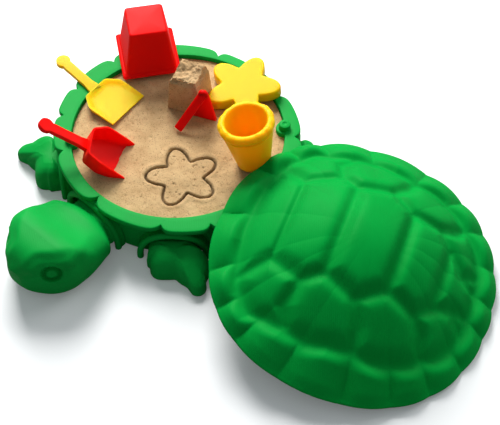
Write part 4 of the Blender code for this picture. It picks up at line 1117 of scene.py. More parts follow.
@dataclass
class Leg:
    """Stubby two-lobed leg that grows out of its hood, flat beneath and rounded above."""

    name: str
    node: str
    angle: float
    side: int
    lobes: tuple[Triple, ...]
    levels: tuple[Pair, ...]
    root: float = 0.0598
    root_end: float = 0.0700
    root_half: float = 0.0128
    blend: float = 0.0014
    middle: Pair = (0.0672, 0.0010)
    mouth: float = 0.0645
    shoulder: float = 0.0030
    arch_half: float = 0.0146
    arch_height: float = 0.0150
    slope: float = 0.50
    slope_span: Pair = (0.0640, 0.0900)
    longest: float = 0.040
    rays: int = 160
    ring_count: int = 40
    smoothing: int = 9

    def distance(self, along: float, across: float) -> float:
        """Signed distance to the outline, below 0 inside.

        Args:
            along: Place along the leg.
            across: Place across it.

        Returns:
            The distance.
        """
        values = [math.hypot(along - a, across - b) - r for a, b, r in self.lobes]
        dx = max(self.root - along, along - self.root_end)
        dy = abs(across) - self.root_half
        values.append(math.hypot(max(dx, 0.0), max(dy, 0.0)) + min(max(dx, dy), 0.0))
        least = min(values)
        return least - self.blend * math.log(sum(math.exp((least - v) / self.blend) for v in values))

    def outline(self) -> Array:
        """Outline round the leg's middle, found along rays."""
        points = []
        for i in range(self.rays):
            turn = 2.0 * math.pi * i / self.rays
            low, high = 0.0, self.longest
            for _ in range(28):
                reach = (low + high) / 2.0
                inside = self.distance(self.middle[0] + reach * math.cos(turn),
                                       self.middle[1] + reach * math.sin(turn)) < 0.0
                low, high = (reach, high) if inside else (low, reach)
            points.append((low * math.cos(turn), low * math.sin(turn)))
        return np.array(points)

    def build(self, finishes: Finishes) -> None:
        """Loft the leg and dress it.

        Args:
            finishes: The finishes of the object.
        """
        outline = self.outline()
        outward = from_front(self.angle, self.side)
        turn = math.radians(self.angle)
        rearward = np.array([self.side * math.cos(turn), math.sin(turn), 0.0])
        heights, scales = (self.smoothed(column) for column in np.array(self.levels).T)
        rings = []
        for level, shrink in zip(heights, scales):
            reach = np.maximum(self.middle[0] + outline[:, 0] * shrink, self.root)
            lateral = self.middle[1] + outline[:, 1] * shrink
            rings.append(self.fitted(reach, lateral, level, outward, rearward))
        rings[0][:, 2] = 0.0001
        leg = loft(self.name, rings, 60.0)
        dress(leg, finishes.green, Body.TUB, [self.node])

    def smoothed(self, values: Array) -> Array:
        """Values for every ring, without the corners of the given levels.

        Args:
            values: Value at each given level.

        Returns:
            Value at each ring.
        """
        steps = np.linspace(0.0, len(values) - 1.0, self.ring_count)
        kernel = np.hanning(self.smoothing)
        kernel /= kernel.sum()
        dense = np.interp(steps, range(len(values)), values)
        return np.convolve(np.pad(dense, self.smoothing // 2, mode="edge"), kernel, "valid")

    def fitted(self, reach: Array, lateral: Array, level: float, outward: Array, rearward: Array) -> Array:
        """Ring of skin points, drawn in where the leg passes through its hood.

        Args:
            reach: Reach of the points along the leg.
            lateral: Their offset across it.
            level: Height of the ring.
            outward: Direction along the leg.
            rearward: Direction across it.

        Returns:
            The ring.
        """
        free = smooth_step(0.0, 1.0, (reach - self.mouth) / self.shoulder)
        slope = 1.0 - self.slope * smooth_step(*self.slope_span, reach)
        height = level * (0.92 + 0.14 * free) * slope
        arch = self.arch_half * np.maximum(1.0 - (height / self.arch_height) ** 2.5, 0.0) ** 0.4
        limit = arch + free * self.shoulder * 6.0
        lateral = np.sign(lateral) * np.minimum(np.abs(lateral), limit)
        points = outward[None, :] * reach[:, None] + rearward[None, :] * lateral[:, None]
        points[:, 2] = height
        return points


@dataclass
class Tail:
    """Stub of a tail that tapers to a blunt tip near the ground."""

    radius: float = 0.0043
    root: float = 0.0591
    length: float = 0.0099
    height: float = 0.0046
    taper: float = 0.90
    taper_power: float = 1.6
    rings: int = 24
    segments: int = 64

    def build(self, finishes: Finishes) -> None:
        """Loft the tail and dress it.

        Args:
            finishes: The finishes of the object.
        """
        turn = full_turn(self.segments)
        rings = []
        for share in np.linspace(0.0, 1.0, self.rings):
            radius = self.radius * (1.0 - self.taper * share ** self.taper_power)
            middle = self.height - (self.radius - radius) * 0.5
            rings.append(np.column_stack([
                radius * np.cos(turn), np.full(self.segments, self.root + self.length * share),
                middle + radius * np.sin(turn)]))
        dress(loft("stub_tail", rings, 60.0), finishes.green, Body.TUB, ["tail"])


@dataclass
class Limbs:
    """The four legs and the tail.

    A lobe is its middle along and across the leg and its radius. A level is a height and the share of the
    outline that the leg fills there.
    """

    front_lobes: tuple[Triple, ...] = (
        (0.0728, -0.0064, 0.0048), (0.0728, -0.0012, 0.0046), (0.0740, 0.0094, 0.0076),
        (0.0732, 0.0118, 0.0070), (0.0832, 0.0134, 0.0042))
    rear_lobes: tuple[Triple, ...] = ((0.0655, 0.0055, 0.0088), (0.0690, -0.0060, 0.0098))
    front_levels: tuple[Pair, ...] = (
        (0.0, 0.94), (0.0012, 1.0), (0.0078, 0.99), (0.0112, 0.94), (0.0136, 0.84), (0.0151, 0.68),
        (0.0158, 0.45))
    rear_levels: tuple[Pair, ...] = (
        (0.0, 0.94), (0.0012, 1.0), (0.0060, 0.99), (0.0088, 0.94), (0.0106, 0.84), (0.0117, 0.68),
        (0.0122, 0.45))

    def build(self, finishes: Finishes) -> None:
        """Make and dress the legs and the tail.

        Args:
            finishes: The finishes of the object.
        """
        for label, side in (("left", 1), ("right", -1)):
            Leg(f"front_{label}_paw", f"front_leg_{label}", FRONT_LEG_ANGLE, side, self.front_lobes,
                self.front_levels).build(finishes)
            Leg(f"rear_{label}_paw", f"rear_leg_{label}", REAR_LEG_ANGLE, side, self.rear_lobes,
                self.rear_levels).build(finishes)
        Tail().build(finishes)


# ---------------------------------------------------------------- star outline

def star_outline(tip: float, waist: float, grow: float = 0.0) -> Array:
    """Starfish outline with rounded arms, one arm along +X.

    Args:
        tip: Reach of the arms.
        waist: Reach between them.
        grow: Distance by which the outline grows.

    Returns:
        The points of the outline.
    """
    arms, roundness = 5, 0.80
    turn = full_turn(200)
    swell = ((1.0 + np.cos(arms * turn)) / 2.0) ** roundness
    reach = waist + (tip - waist) * swell + grow
    return np.stack([reach * np.cos(turn), reach * np.sin(turn)], axis=1)


def turned_outline(outline: Array, place: Pair, degrees: float) -> Array:
    """Outline after a turn and a shift in the plane.

    Args:
        outline: The points.
        place: Where its middle goes.
        degrees: Degrees of the turn.

    Returns:
        The points where they lie.
    """
    turn = math.radians(degrees)
    x = outline[:, 0] * math.cos(turn) - outline[:, 1] * math.sin(turn) + place[0]
    y = outline[:, 0] * math.sin(turn) + outline[:, 1] * math.cos(turn) + place[1]
    return np.stack([x, y], axis=1)


# ---------------------------------------------------------------- sand

@dataclass
class SandBed:
    """Sand in the tub: soft undulations, the star print, drag marks, pits and heaps."""

    radius: float = 0.0561
    level: float = SAND_LEVEL
    drop: float = 0.0003
    edge_drop: float = 0.0002
    thickness: float = 0.0030
    spacing: float = 0.00042
    print_place: Pair = (0.0211, -0.0186)
    print_turn: float = 3.0
    print_tip: float = 0.0192
    print_waist: float = 0.0108
    groove: float = 0.00060
    groove_soft: float = 0.00025
    groove_depth: float = 0.0021
    bank: float = 0.00035
    pit: float = 0.00055
    dimple: float = 0.00040

    def height(self, x: Array, y: Array) -> Array:
        """Height of the sand at each place.

        Args:
            x: First coordinates.
            y: Second coordinates.

        Returns:
            The heights.
        """
        flat = np.stack([x, y, np.zeros_like(x)], axis=-1)
        z = self.level - self.drop + rough(flat, 0.022, 2, 3.1) * 0.00050
        z = z + rough(flat, 0.0045, 3, 9.7) * 0.00020
        star = star_outline(self.print_tip, self.print_waist)
        edge = polygon_distance(x, y, turned_outline(star, self.print_place, self.print_turn))
        wobble = rough(flat, 0.003, 2, 5.5) * 0.00018
        outer, inner = self.groove + self.groove_soft, self.groove - self.groove_soft
        z = z - self.groove_depth * smooth_step(outer, inner, np.abs(edge + wobble))
        z = z + self.bank * bell(edge, 0.0022, 0.0011)
        pits = smooth_step(0.42, 0.70, rough(flat, 0.0022, 2, 21.0))
        z = z - self.pit * pits * smooth_step(0.001, -0.001, edge)
        dimples = smooth_step(0.50, 0.80, rough(flat, 0.0030, 2, 33.0))
        return z - self.dimple * dimples * smooth_step(0.0, 0.004, edge)

    def build(self, finishes: Finishes) -> None:
        """Make the sand's surface and dress it.

        Args:
            finishes: The finishes of the object.
        """
        count = int(2.0 * self.radius / self.spacing)
        axis = np.linspace(-self.radius, self.radius, count)
        x, y = np.meshgrid(axis, axis, indexing="ij")
        reach = np.hypot(x, y)
        keep = reach <= self.radius - self.spacing * 0.6
        number = np.full(x.shape, -1)
        number[keep] = np.arange(keep.sum())
        z = np.full(x.shape, self.level)
        z[keep] = self.height(x[keep], y[keep])
        verts = np.stack([x[keep], y[keep], z[keep]], axis=1)
        corners = np.stack([number[:-1, :-1], number[1:, :-1], number[1:, 1:], number[:-1, 1:]], axis=-1)
        faces = [tuple(int(v) for v in face) for face in corners.reshape(-1, 4) if (face >= 0).all()]
        obj = self.closed("sand_surface", verts, faces)
        dress(obj, finishes.sand, Body.TUB, ["sand_fill"])

    def face_rank(self, face: bmesh.types.BMFace, count: int) -> float:
        """Rank of a face in the surface, the same in every run, because the crumbs fall by it.

        Args:
            face: The face.
            count: Number of faces of the sand itself, which come first and keep their order.

        Returns:
            Its own number, and past that the faces of the edge and the underside, by height and turn.
        """
        if face.index < count:
            return float(face.index)
        centre = face.calc_center_median()
        band = 1 + round(2.0 * (self.level - self.edge_drop - centre.z) / self.thickness)
        return count + 2.0 * math.pi * band + math.atan2(centre.y, centre.x)

    def closed(self, name: str, verts: Array, faces: list[tuple[int, ...]]) -> bpy.types.Object:
        """Run the surface's edge out to the tub's wall and down, and close it beneath.

        Args:
            name: Name of the piece.
            verts: Points of the surface.
            faces: Its faces.

        Returns:
            The closed piece.
        """
        mesh = bpy.data.meshes.new(name)
        mesh.from_pydata([tuple(v) for v in verts], [], faces)
        bm = bmesh.new()
        bm.from_mesh(mesh)
        bmesh.ops.delete(bm, geom=[v for v in bm.verts if not v.link_faces], context="VERTS")
        for depth in (0.0, self.thickness):
            grown = bmesh.ops.extrude_edge_only(bm, edges=[e for e in bm.edges if e.is_boundary])
            for vert in (v for v in grown["geom"] if isinstance(v, bmesh.types.BMVert)):
                flat = Vector((vert.co.x, vert.co.y)).normalized() * self.radius
                vert.co = Vector((flat.x, flat.y, self.level - self.edge_drop - depth))
        bmesh.ops.contextual_create(bm, geom=[e for e in bm.edges if e.is_boundary])
        bmesh.ops.recalc_face_normals(bm, faces=bm.faces)
        bm.faces.index_update()
        bm.faces.sort(key=lambda face: self.face_rank(face, len(faces)))
        bm.to_mesh(mesh)
        bm.free()
        mesh.shade_smooth()
        return linked(name, mesh)


@dataclass
class SandCastle:
    """Block of damp sand turned out of the square bucket, its top crumbled."""

    place: Pair = (-0.0122, 0.0220)
    turn: float = 20.0
    base: float = 0.0184
    top: float = 0.0154
    height: float = 0.0232
    foot: float = 0.0225
    steps: int = 46

    def build(self, finishes: Finishes) -> None:
        """Make the block and dress it.

        Args:
            finishes: The finishes of the object.
        """
        bm = bmesh.new()
        bmesh.ops.create_cube(bm, size=1.0)
        bmesh.ops.subdivide_edges(bm, edges=bm.edges, cuts=self.steps, use_grid_fill=True)
        mesh = bpy.data.meshes.new("castle")
        bm.to_mesh(mesh)
        bm.free()
        mesh.vertices.foreach_set("co", self.shape(mesh_points(mesh)).ravel())
        shaded(mesh, 50.0)
        block = linked("crumbled_castle", mesh)
        dress(block, finishes.damp_and_shade, Body.TUB, ["sand_castle"])

    def shape(self, cube: Array) -> Array:
        """Turn the points of a unit cube into the crumbled block.

        Args:
            cube: Points on the faces of the cube.

        Returns:
            The points of the block.
        """
        up = cube[:, 2] + 0.5
        half = (self.base + (self.top - self.base) * up) / 2.0
        x, y, z = cube[:, 0] * 2.0 * half, cube[:, 1] * 2.0 * half, up * self.height
        here = np.stack([x, y, z], axis=1)
        reach = np.maximum(np.abs(cube[:, 0]), np.abs(cube[:, 1])) * 2.0
        coarse = rough(here, 0.0060, 3, 41.0)
        fine = rough(here, 0.0016, 3, 17.0)
        crown = smooth_step(0.78, 1.0, up)
        back = smooth_step(-0.002, 0.005, y - 0.3 * x)
        z = z - crown * (0.0016 + 0.0014 * coarse + 0.0005 * fine - 0.0016 * back)
        crumble = crown * smooth_step(0.80, 1.0, reach) * (0.0008 + 0.0012 * np.abs(coarse))
        shrink = 1.0 - crumble / half
        skin = 1.0 + (fine * 0.00012 + coarse * 0.00015) / half
        x, y = x * shrink * skin, y * shrink * skin
        flat = turned_outline(np.column_stack([x, y]), self.place, self.turn)
        return np.column_stack([flat, z + self.foot])


# ---------------------------------------------------------------- cover

@dataclass
class Cover:
    """Domed shell cover that leans on the rim, with raised scutes and a wavy edge."""

    half_length: float = 0.0714
    half_width: float = 0.0716
    corner_swell: float = 0.028
    rise: float = 0.0345
    dome_power: float = 1.22
    crown_shift: Pair = (0.0010, 0.0035)
    wall: float = 0.0021
    lobe_depth: float = 0.0011
    lobe_rise: float = 0.0028
    front_lobe_rise: float = 0.0014
    place: Pair = (0.1203, -0.0002)
    spine: float = 21.0
    tilt: float = 10.97
    tilt_angle: float = 2.1
    rings: int = 120
    segments: int = 576
    valley_depth: float = 0.0031
    valley_width: float = 0.0038
    margin_depth: float = 0.0024
    margin_width: float = 0.0036
    # Each valley across the spine: its place, its half length, its depth and its width.
    cross_valleys: tuple[tuple[float, float, float, float], ...] = (
        (-0.0523, 0.0160, 0.0008, 0.0014), (-0.0392, 0.0240, 0.0021, 0.0021),
        (-0.0140, 0.0260, 0.0031, 0.0037), (0.0160, 0.0225, 0.0033, 0.0036),
        (0.0395, 0.0160, 0.0031, 0.0032))
    # Lines along the spine and away from it, the same on both sides: the edge of the middle plates, and
    # the lines between the side plates.
    band_edge: tuple[Pair, ...] = (
        (-0.0520, 0.0350), (-0.0395, 0.0240), (-0.0230, 0.0308), (-0.0140, 0.0255), (0.0035, 0.0315),
        (0.0160, 0.0222), (0.0320, 0.0245), (0.0400, 0.0160), (0.0500, 0.0100), (0.0620, 0.0060))
    ribs: tuple[tuple[Pair, ...], ...] = (
        ((-0.0230, 0.0308), (-0.0250, 0.0430), (-0.0210, 0.0510)),
        ((0.0035, 0.0315), (0.0101, 0.0420), (0.0118, 0.0500)),
        ((0.0320, 0.0245), (0.0393, 0.0305), (0.0440, 0.0390)),
        ((0.0500, 0.0100), (0.0610, 0.0190)))
    # Inner edge of the marginal plates: degrees from the spine, and share of the reach.
    margin_line: tuple[Pair, ...] = (
        (0.0, 0.82), (14.0, 0.83), (25.0, 0.84), (33.0, 0.82), (45.0, 0.79), (60.0, 0.77), (77.0, 0.72),
        (89.0, 0.72), (99.0, 0.76), (112.0, 0.76), (120.0, 0.79), (128.0, 0.84), (140.0, 0.84), (150.0, 0.82),
        (165.0, 0.79), (180.0, 0.79))
    notches: tuple[float, ...] = (-7.0, 7.0, 24.0, 41.0, 57.0, 76.0, 102.0, 123.0, 137.0, 153.0, 180.0)

    def matrix(self) -> Matrix:
        """Turn of the cover: its spine and its lean."""
        axis = Vector(UP).cross(Vector(direction(self.tilt_angle)))
        lean = Matrix.Rotation(math.radians(self.tilt), 4, axis)
        return lean @ Matrix.Rotation(math.radians(self.spine), 4, "Z")

    def axis(self) -> Vector:
        """Direction of the cover's own upright."""
        return self.matrix() @ Vector(UP)

    def edge(self, turn: Array) -> Array:
        """Reach of the wavy edge by the turn from the spine.

        Args:
            turn: Turns from the spine.

        Returns:
            The reach at each turn.
        """
        oval = 1.0 / np.hypot(np.cos(turn) / self.half_length, np.sin(turn) / self.half_width)
        corner = 1.0 + self.corner_swell * np.sin(2.0 * turn) ** 2
        return oval * corner + self.lobe_depth * (self.wave(turn) - 1.0)

    def wave(self, turn: Array) -> Array:
        """Swell of the marginal scutes round the edge, 0 in the notches.

        Args:
            turn: Turns from the spine.

        Returns:
            The swell at each turn.
        """
        degrees = np.abs((np.degrees(turn) + 180.0) % 360.0 - 180.0)
        notches = np.array(self.notches)
        index = np.clip(np.searchsorted(notches, degrees, side="right") - 1, 0, len(notches) - 2)
        share = (degrees - notches[index]) / (notches[index + 1] - notches[index])
        return np.abs(np.sin(math.pi * share)) ** 0.75

    def line_distance(self, x: Array, y: Array, points: Sequence[Pair]) -> Array:
        """Distance to a bent line."""
        return np.min([segment_distance(x, y, a, b) for a, b in zip(points, points[1:])], axis=0)

    def relief(self, x: Array, y: Array, share: Array, turn: Array) -> Array:
        """Depth of the surface below the full dome.

        Args:
            x: Places along the spine.
            y: Places across it.
            share: Share of the reach, 0 at the crown and 1 at the edge.
            turn: Turn from the spine.

        Returns:
            The depth at each place.
        """
        across = np.abs(y)
        degrees = np.abs(np.degrees(turn))
        start = np.interp(degrees, *np.array(self.margin_line).T)
        inside = smooth_step(start + 0.06, start - 0.02, share)
        lines = [(((cx, 0.0), (cx, end)), depth, width) for cx, end, depth, width in self.cross_valleys]
        lines.append((self.band_edge, self.valley_depth, self.valley_width))
        lines += [(rib, self.valley_depth, self.valley_width) for rib in self.ribs]
        total = np.zeros_like(x)
        for points, depth, width in lines:
            valley = depth * bell(self.line_distance(x, across, points), 0.0, width) * inside
            total += valley ** 4
        ring = self.margin_depth * bell((share - start) * self.half_length, 0.0, self.margin_width)
        depth = (total + ring ** 4) ** 0.25
        front = smooth_step(115.0, 150.0, degrees)
        bump = smooth_step(start + 0.01, start + 0.11, share) * smooth_step(1.05, 0.93, share)
        return depth - (self.lobe_rise + self.front_lobe_rise * front) * bump * self.wave(turn)

    def skin(self, share: Array, turn: Array) -> Array:
        """Grid of points of the outer skin.

        Args:
            share: Shares of the reach, from the crown to the edge.
            turn: Turns from the spine.

        Returns:
            The points, in rows by share.
        """
        reach = self.edge(turn)[None, :] * share[:, None]
        x, y = reach * np.cos(turn)[None, :], reach * np.sin(turn)[None, :]
        dome = self.rise * np.maximum(1.0 - share[:, None] ** 2, 0.0) ** self.dome_power
        share_grid = np.broadcast_to(share[:, None], x.shape)
        turn_grid = np.broadcast_to(((turn + math.pi) % (2.0 * math.pi) - math.pi)[None, :], x.shape)
        z = dome - self.relief(x, y, share_grid, turn_grid)
        slide = 1.0 - share_grid ** 2
        return np.stack([x + self.crown_shift[0] * slide, y + self.crown_shift[1] * slide, z], axis=2)

    def build(self, finishes: Finishes) -> None:
        """Make the shell with its wall and dress it.

        Args:
            finishes: The finishes of the object.
        """
        turn = full_turn(self.segments)
        share = np.linspace(0.004, 1.0, self.rings) ** 0.92
        outer = self.skin(share, turn)
        normals = self.normals(outer)
        inner = outer - normals * self.wall
        rim_middle = (outer[-1] + inner[-1]) / 2.0
        outward = unit(outer[-1] - outer[-2])
        rings = list(outer)
        for angle in (60.0, 30.0, 0.0, -30.0, -60.0):
            rise = math.radians(angle)
            rings.append(rim_middle + outward * math.cos(rise) * self.wall * 0.4
                         + (outer[-1] - rim_middle) * math.sin(rise))
        rings += list(inner[::-1][::2])
        low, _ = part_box("cover")
        shell = loft("shell_cover", stood(rings, self.matrix(), self.place, low[2]), 70.0)
        dress(shell, finishes.shell, Body.COVER, ["cover"])

    @staticmethod
    def normals(grid: Array) -> Array:
        """Unit normals of a polar grid, away from the inside of the dome."""
        down = np.gradient(grid, axis=0)
        along = np.roll(grid, -1, axis=1) - np.roll(grid, 1, axis=1)
        return unit(np.cross(down, along))


# ---------------------------------------------------------------- toys

@dataclass
class SquareBucket:
    """Square bucket that stands on its mouth across the rim."""

    height: float = 0.0288
    end: float = 0.0208
    mouth: float = 0.0280
    lip: float = 0.0020
    lip_thickness: float = 0.0020
    wall: float = 0.0013
    corner: float = 0.0018
    soft: float = 0.0011
    place: Pair = (-0.0513, 0.0292)
    turn: float = 53.5
    tip: float = 4.8

    def matrix(self) -> Matrix:
        """Pose of the bucket: mouth down on the flange, tipped a little towards the sand."""
        reach = math.hypot(*self.place)
        outward = Vector((self.place[0] / reach, self.place[1] / reach, 0.0))
        half = self.mouth / 2.0 + self.lip
        edge = math.sqrt(RIM_INNER_RADIUS ** 2 - half ** 2)
        middle = RIM_HEIGHT + GAP * 1.2 + (reach - edge) * math.tan(math.radians(self.tip))
        return Matrix.Translation((*self.place, middle)) @ upright(self.tip, outward, self.turn)

    def ring(self, half: float, height: float) -> Array:
        """Square ring with rounded corners.

        Args:
            half: Half the width of the square.
            height: Height of the ring.

        Returns:
            The points of the ring.
        """
        points = []
        for quarter in range(4):
            centre = direction(45.0 + 90.0 * quarter) * (half - self.corner) * math.sqrt(2.0)
            for step in range(9):
                point = centre + direction(90.0 * quarter + 90.0 * step / 8.0) * self.corner
                points.append((point[0], point[1], height))
        return np.array(points)

    def build(self, finishes: Finishes) -> None:
        """Loft the bucket from the inside out and dress it.

        Args:
            finishes: The finishes of the object.
        """
        mouth, end, top = self.mouth / 2.0, self.end / 2.0, self.height
        lip, under = mouth + self.lip, self.lip_thickness
        profile = [(end - self.wall, top - self.wall), (mouth - self.wall, 0.0003),
                   (mouth - self.wall + 0.0003, 0.0), (lip - 0.0004, 0.0), (lip, 0.0004),
                   (lip, under - 0.0005), (lip - 0.0005, under), (mouth + 0.0004, under + 0.0001),
                   (mouth - 0.0001, under + 0.0007)]
        profile += soft_edge(end, top, self.soft, (0.0, 22.0, 45.0, 68.0, 90.0))
        matrix = self.matrix()
        bucket = loft("square_pail", [moved(self.ring(*step), matrix) for step in profile], 40.0)
        dress(bucket, finishes.red, Body.RED_BUCKET, ["red_bucket"])


@dataclass
class RoundBucket:
    """Round bucket with a thick lumpy band round its mouth, leaning a little."""

    height: float = 0.0300
    foot: float = 0.0088
    neck: float = 0.0135
    wall: float = 0.0013
    band: float = 0.0146
    band_height: float = 0.0052
    band_round: float = 0.0024
    mouth: float = 0.0109
    place: Pair = (0.0423, 0.0129)
    lean: float = 9.0
    lean_angle: float = 200.0
    lumps: int = 15
    lump_size: float = 0.0005
    lump_rise: float = 0.0003
    steps: int = 224

    def profile(self) -> list[Triple]:
        """Radius, height and share of the lumps at each step, from the inside out."""
        low = self.height - self.band_height
        floor = self.foot - 0.0017
        middle = 0.0002
        profile = [(middle, self.wall, 0.0), (floor - 0.0005, self.wall, 0.0),
                   (floor, self.wall + 0.0006, 0.0)]
        for share in np.linspace(0.1, 1.0, 8):
            radius = floor + (self.mouth - 0.0002 - floor) * share
            profile.append((radius, self.wall + (low - self.wall) * share, 0.0))
        profile += [(self.mouth, self.height - 0.0012, 0.0), (self.mouth + 0.0002, self.height - 0.0004, 0.0),
                    (self.mouth + 0.0008, self.height, 0.15)]
        for angle in np.linspace(75.0, -90.0, 12):
            rise = math.radians(angle)
            radius = self.band - self.band_round + self.band_round * math.cos(rise)
            z = low + self.band_height / 2.0 * (1.0 + math.sin(rise))
            profile.append((radius, z, 1.0))
        for share in np.linspace(0.02, 0.97, 10):
            profile.append((self.neck + (self.foot - self.neck) * share, (low - 0.0002) * (1.0 - share), 0.0))
        profile += [(self.foot - 0.0002, 0.0004, 0.0), (self.foot - 0.0008, 0.0, 0.0), (middle, 0.0, 0.0)]
        return profile

    def build(self, finishes: Finishes) -> None:
        """Turn the bucket, swell its band and dress it.

        Args:
            finishes: The finishes of the object.
        """
        turn = full_turn(self.steps)
        lump = 0.6 * np.abs(np.sin(self.lumps * turn / 2.0)) ** 0.8 + 0.3 * np.sin(5.0 * turn + 1.0) - 0.4
        rings = []
        for radius, height, share in self.profile():
            swell = share * lump
            rings.append(round_ring(turn, radius + swell * self.lump_size, height + swell * self.lump_rise))
        axis = Vector(UP).cross(Vector(direction(self.lean_angle)))
        matrix = Matrix.Rotation(math.radians(self.lean), 4, axis)
        low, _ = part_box("yellow_bucket")
        bucket = loft("round_pail", stood(rings, matrix, self.place, low[2]), 45.0)
        dress(bucket, finishes.yellow, Body.YELLOW_BUCKET, ["yellow_bucket"])


@dataclass
class StarMould:
    """Starfish mould, closed above and open beneath, half on the sand and half on the rim."""

    tip: float = 0.0206
    waist: float = 0.0122
    height: float = 0.0062
    wall: float = 0.0014
    soft: float = 0.0013
    place: Pair = (0.0058, 0.0450)
    turn: float = 34.0

    def matrix(self) -> Matrix:
        """Pose of the mould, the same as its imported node's."""
        reach = math.hypot(*self.place)
        outward = Vector((self.place[0] / reach, self.place[1] / reach, 0.0))
        slope = math.atan2(RIM_HEIGHT - SAND_LEVEL, RIM_INNER_RADIUS - (reach - self.tip))
        middle = SAND_LEVEL + GAP * 1.4 + self.tip * math.tan(slope)
        return Matrix.Translation((*self.place, middle)) @ upright(math.degrees(slope), outward, self.turn)

    def ring(self, grow: float, height: float) -> Array:
        """Star ring at one height."""
        outline = star_outline(self.tip, self.waist, grow)
        return np.column_stack([outline, np.full(len(outline), height)])

    def build(self, finishes: Finishes) -> None:
        """Loft the mould from the inside out and dress it.

        Args:
            finishes: The finishes of the object.
        """
        wall, top = self.wall, self.height
        profile = [(-wall - 0.0040, top - wall), (-wall - 0.0005, top - wall), (-wall, top - wall - 0.0005),
                   (-wall, 0.0002), (-wall + 0.0002, 0.0), (-0.0003, 0.0), (0.0, 0.0003)]
        profile += soft_edge(0.0, top, self.soft, np.linspace(0.0, 90.0, 8))
        profile += [(-0.0040, top), (-0.0075, top)]
        matrix = self.matrix()
        mould = loft("starfish_mould", [moved(self.ring(*step), matrix) for step in profile], 50.0)
        dress(mould, finishes.yellow, Body.STAR_MOULD, ["star_mould"])


@dataclass
class TrayTool:
    """Toy shovel or scoop: a tray whose walls fall away to its two tips, and a flat handle with a knob."""

    name: str
    node: str
    body: Body
    origin: Triple
    turn: float
    rise: float
    roll: float
    length: float
    back_half: float
    side: float
    side_half: float
    front_half: float
    wall: float
    lean: float
    rim: float
    bank: float
    handle: tuple[Triple, Triple]
    floor: float = 0.0012
    handle_half: float = 0.0026
    neck_half: float = 0.0034
    knob: float = 0.0039
    thick: float = 0.0026
    corner: float = 0.0016
    tip_share: float = 0.15
    spacing: float = 0.0012

    def matrix(self) -> Matrix:
        """Pose of the tray, its front edge at the origin and its back along +X."""
        spin = Matrix.Rotation(math.radians(self.turn), 4, "Z")
        pitch = Matrix.Rotation(math.radians(-self.rise), 4, "Y")
        roll = Matrix.Rotation(math.radians(self.roll), 4, "X")
        return Matrix.Translation(self.origin) @ spin @ pitch @ roll

    def outline(self, inset: float) -> Array:
        """Outline of the tray with rounded back corners, drawn in on every side.

        Args:
            inset: Distance from the full outline.

        Returns:
            The outline's points, in order.
        """
        half = [(0.0, self.front_half), (self.side, self.side_half), (self.length, self.back_half)]
        corners = [(x, -y) for x, y in half] + list(reversed(half))
        points = []
        for i, corner in enumerate(corners):
            here = np.array(corner)
            before, after = np.array(corners[i - 1]), np.array(corners[(i + 1) % len(corners)])
            reach = self.corner if 0 < i < len(corners) - 1 else self.corner * self.tip_share
            start, end = here + unit(before - here) * reach, here + unit(after - here) * reach
            for share in np.linspace(0.0, 1.0, 7):
                rest = 1.0 - share
                points.append(rest ** 2 * start + 2.0 * share * rest * here + share ** 2 * end)
        dense = []
        for i, point in enumerate(points):
            following = points[(i + 1) % len(points)]
            steps = max(int(np.linalg.norm(following - point) / self.spacing), 1)
            dense += [point + (following - point) * k / steps for k in range(steps)]
        outline = np.array(dense)
        middle = np.array([self.length / 2.0, 0.0])
        scale = np.array([1.0 - inset / (self.length / 2.0), 1.0 - inset / self.side_half])
        return middle + (outline - middle) * scale

    def tray(self) -> bpy.types.Object:
        """Loft the tray from its underside over the rim and down to the floor inside."""
        full = self.outline(0.0)
        height = self.wall * np.clip(full[:, 0] / self.side, 0.0, 1.0) ** 0.8
        away = unit(full - np.array([self.length / 2.0, 0.0]))
        rings = [np.column_stack([self.outline(inset), np.full(len(full), level)])
                 for inset, level in ((0.0005, 0.0), (0.0, 0.0004))]
        rim, bank = self.rim, self.bank
        # How far each ring is drawn in, and its share of the wall's height and of its lean.
        steps = ((0.0, 0.5, 0.5), (0.0, 1.0, 1.0), (rim, 1.0, 1.0), (rim + bank * 0.30, 0.42, 0.4),
                 (rim + bank * 0.66, 0.10, 0.1), (rim + bank, 0.0, 0.0))
        for inset, level, spread in steps:
            flat = self.outline(inset) + away * (height * self.lean * spread)[:, None]
            rings.append(np.column_stack([flat, self.floor + height * level]))
        matrix = self.matrix()
        return softened(loft(self.name, [moved(ring, matrix) for ring in rings], 32.0), 0.00035, 3, 30.0)

    def grip(self) -> bpy.types.Object:
        """Flat handle with a waist and a round knob, from its root to its end."""
        root, end = (np.array(point) for point in self.handle)
        run = end - root
        length = float(np.linalg.norm(run))
        meet = math.asin(self.handle_half / self.knob)
        half = [(-0.0012, self.neck_half), (0.0012, self.neck_half * 0.94), (0.0050, self.handle_half),
                (length * 0.6, self.handle_half), (length - self.knob * 1.35, self.handle_half * 1.04)]
        for turn in np.linspace(math.pi - meet, 0.0, 18):
            half.append((length + self.knob * math.cos(turn), self.knob * math.sin(turn)))
        outline = np.array([(x, -y) for x, y in half[:-1]] + [half[-1]] + list(reversed(half[:-1])))
        axis = run / length
        return slab(self.name + "_grip", root, outline, axis, unit(np.cross(UP, axis)), self.thick, 0.0009)

    def build(self, finish: bpy.types.Material) -> None:
        """Make the tool and dress it.

        Args:
            finish: Material of the whole tool.
        """
        tool = joined(self.name, [self.tray(), self.grip()], 32.0)
        dress(tool, finish, self.body, [self.node])


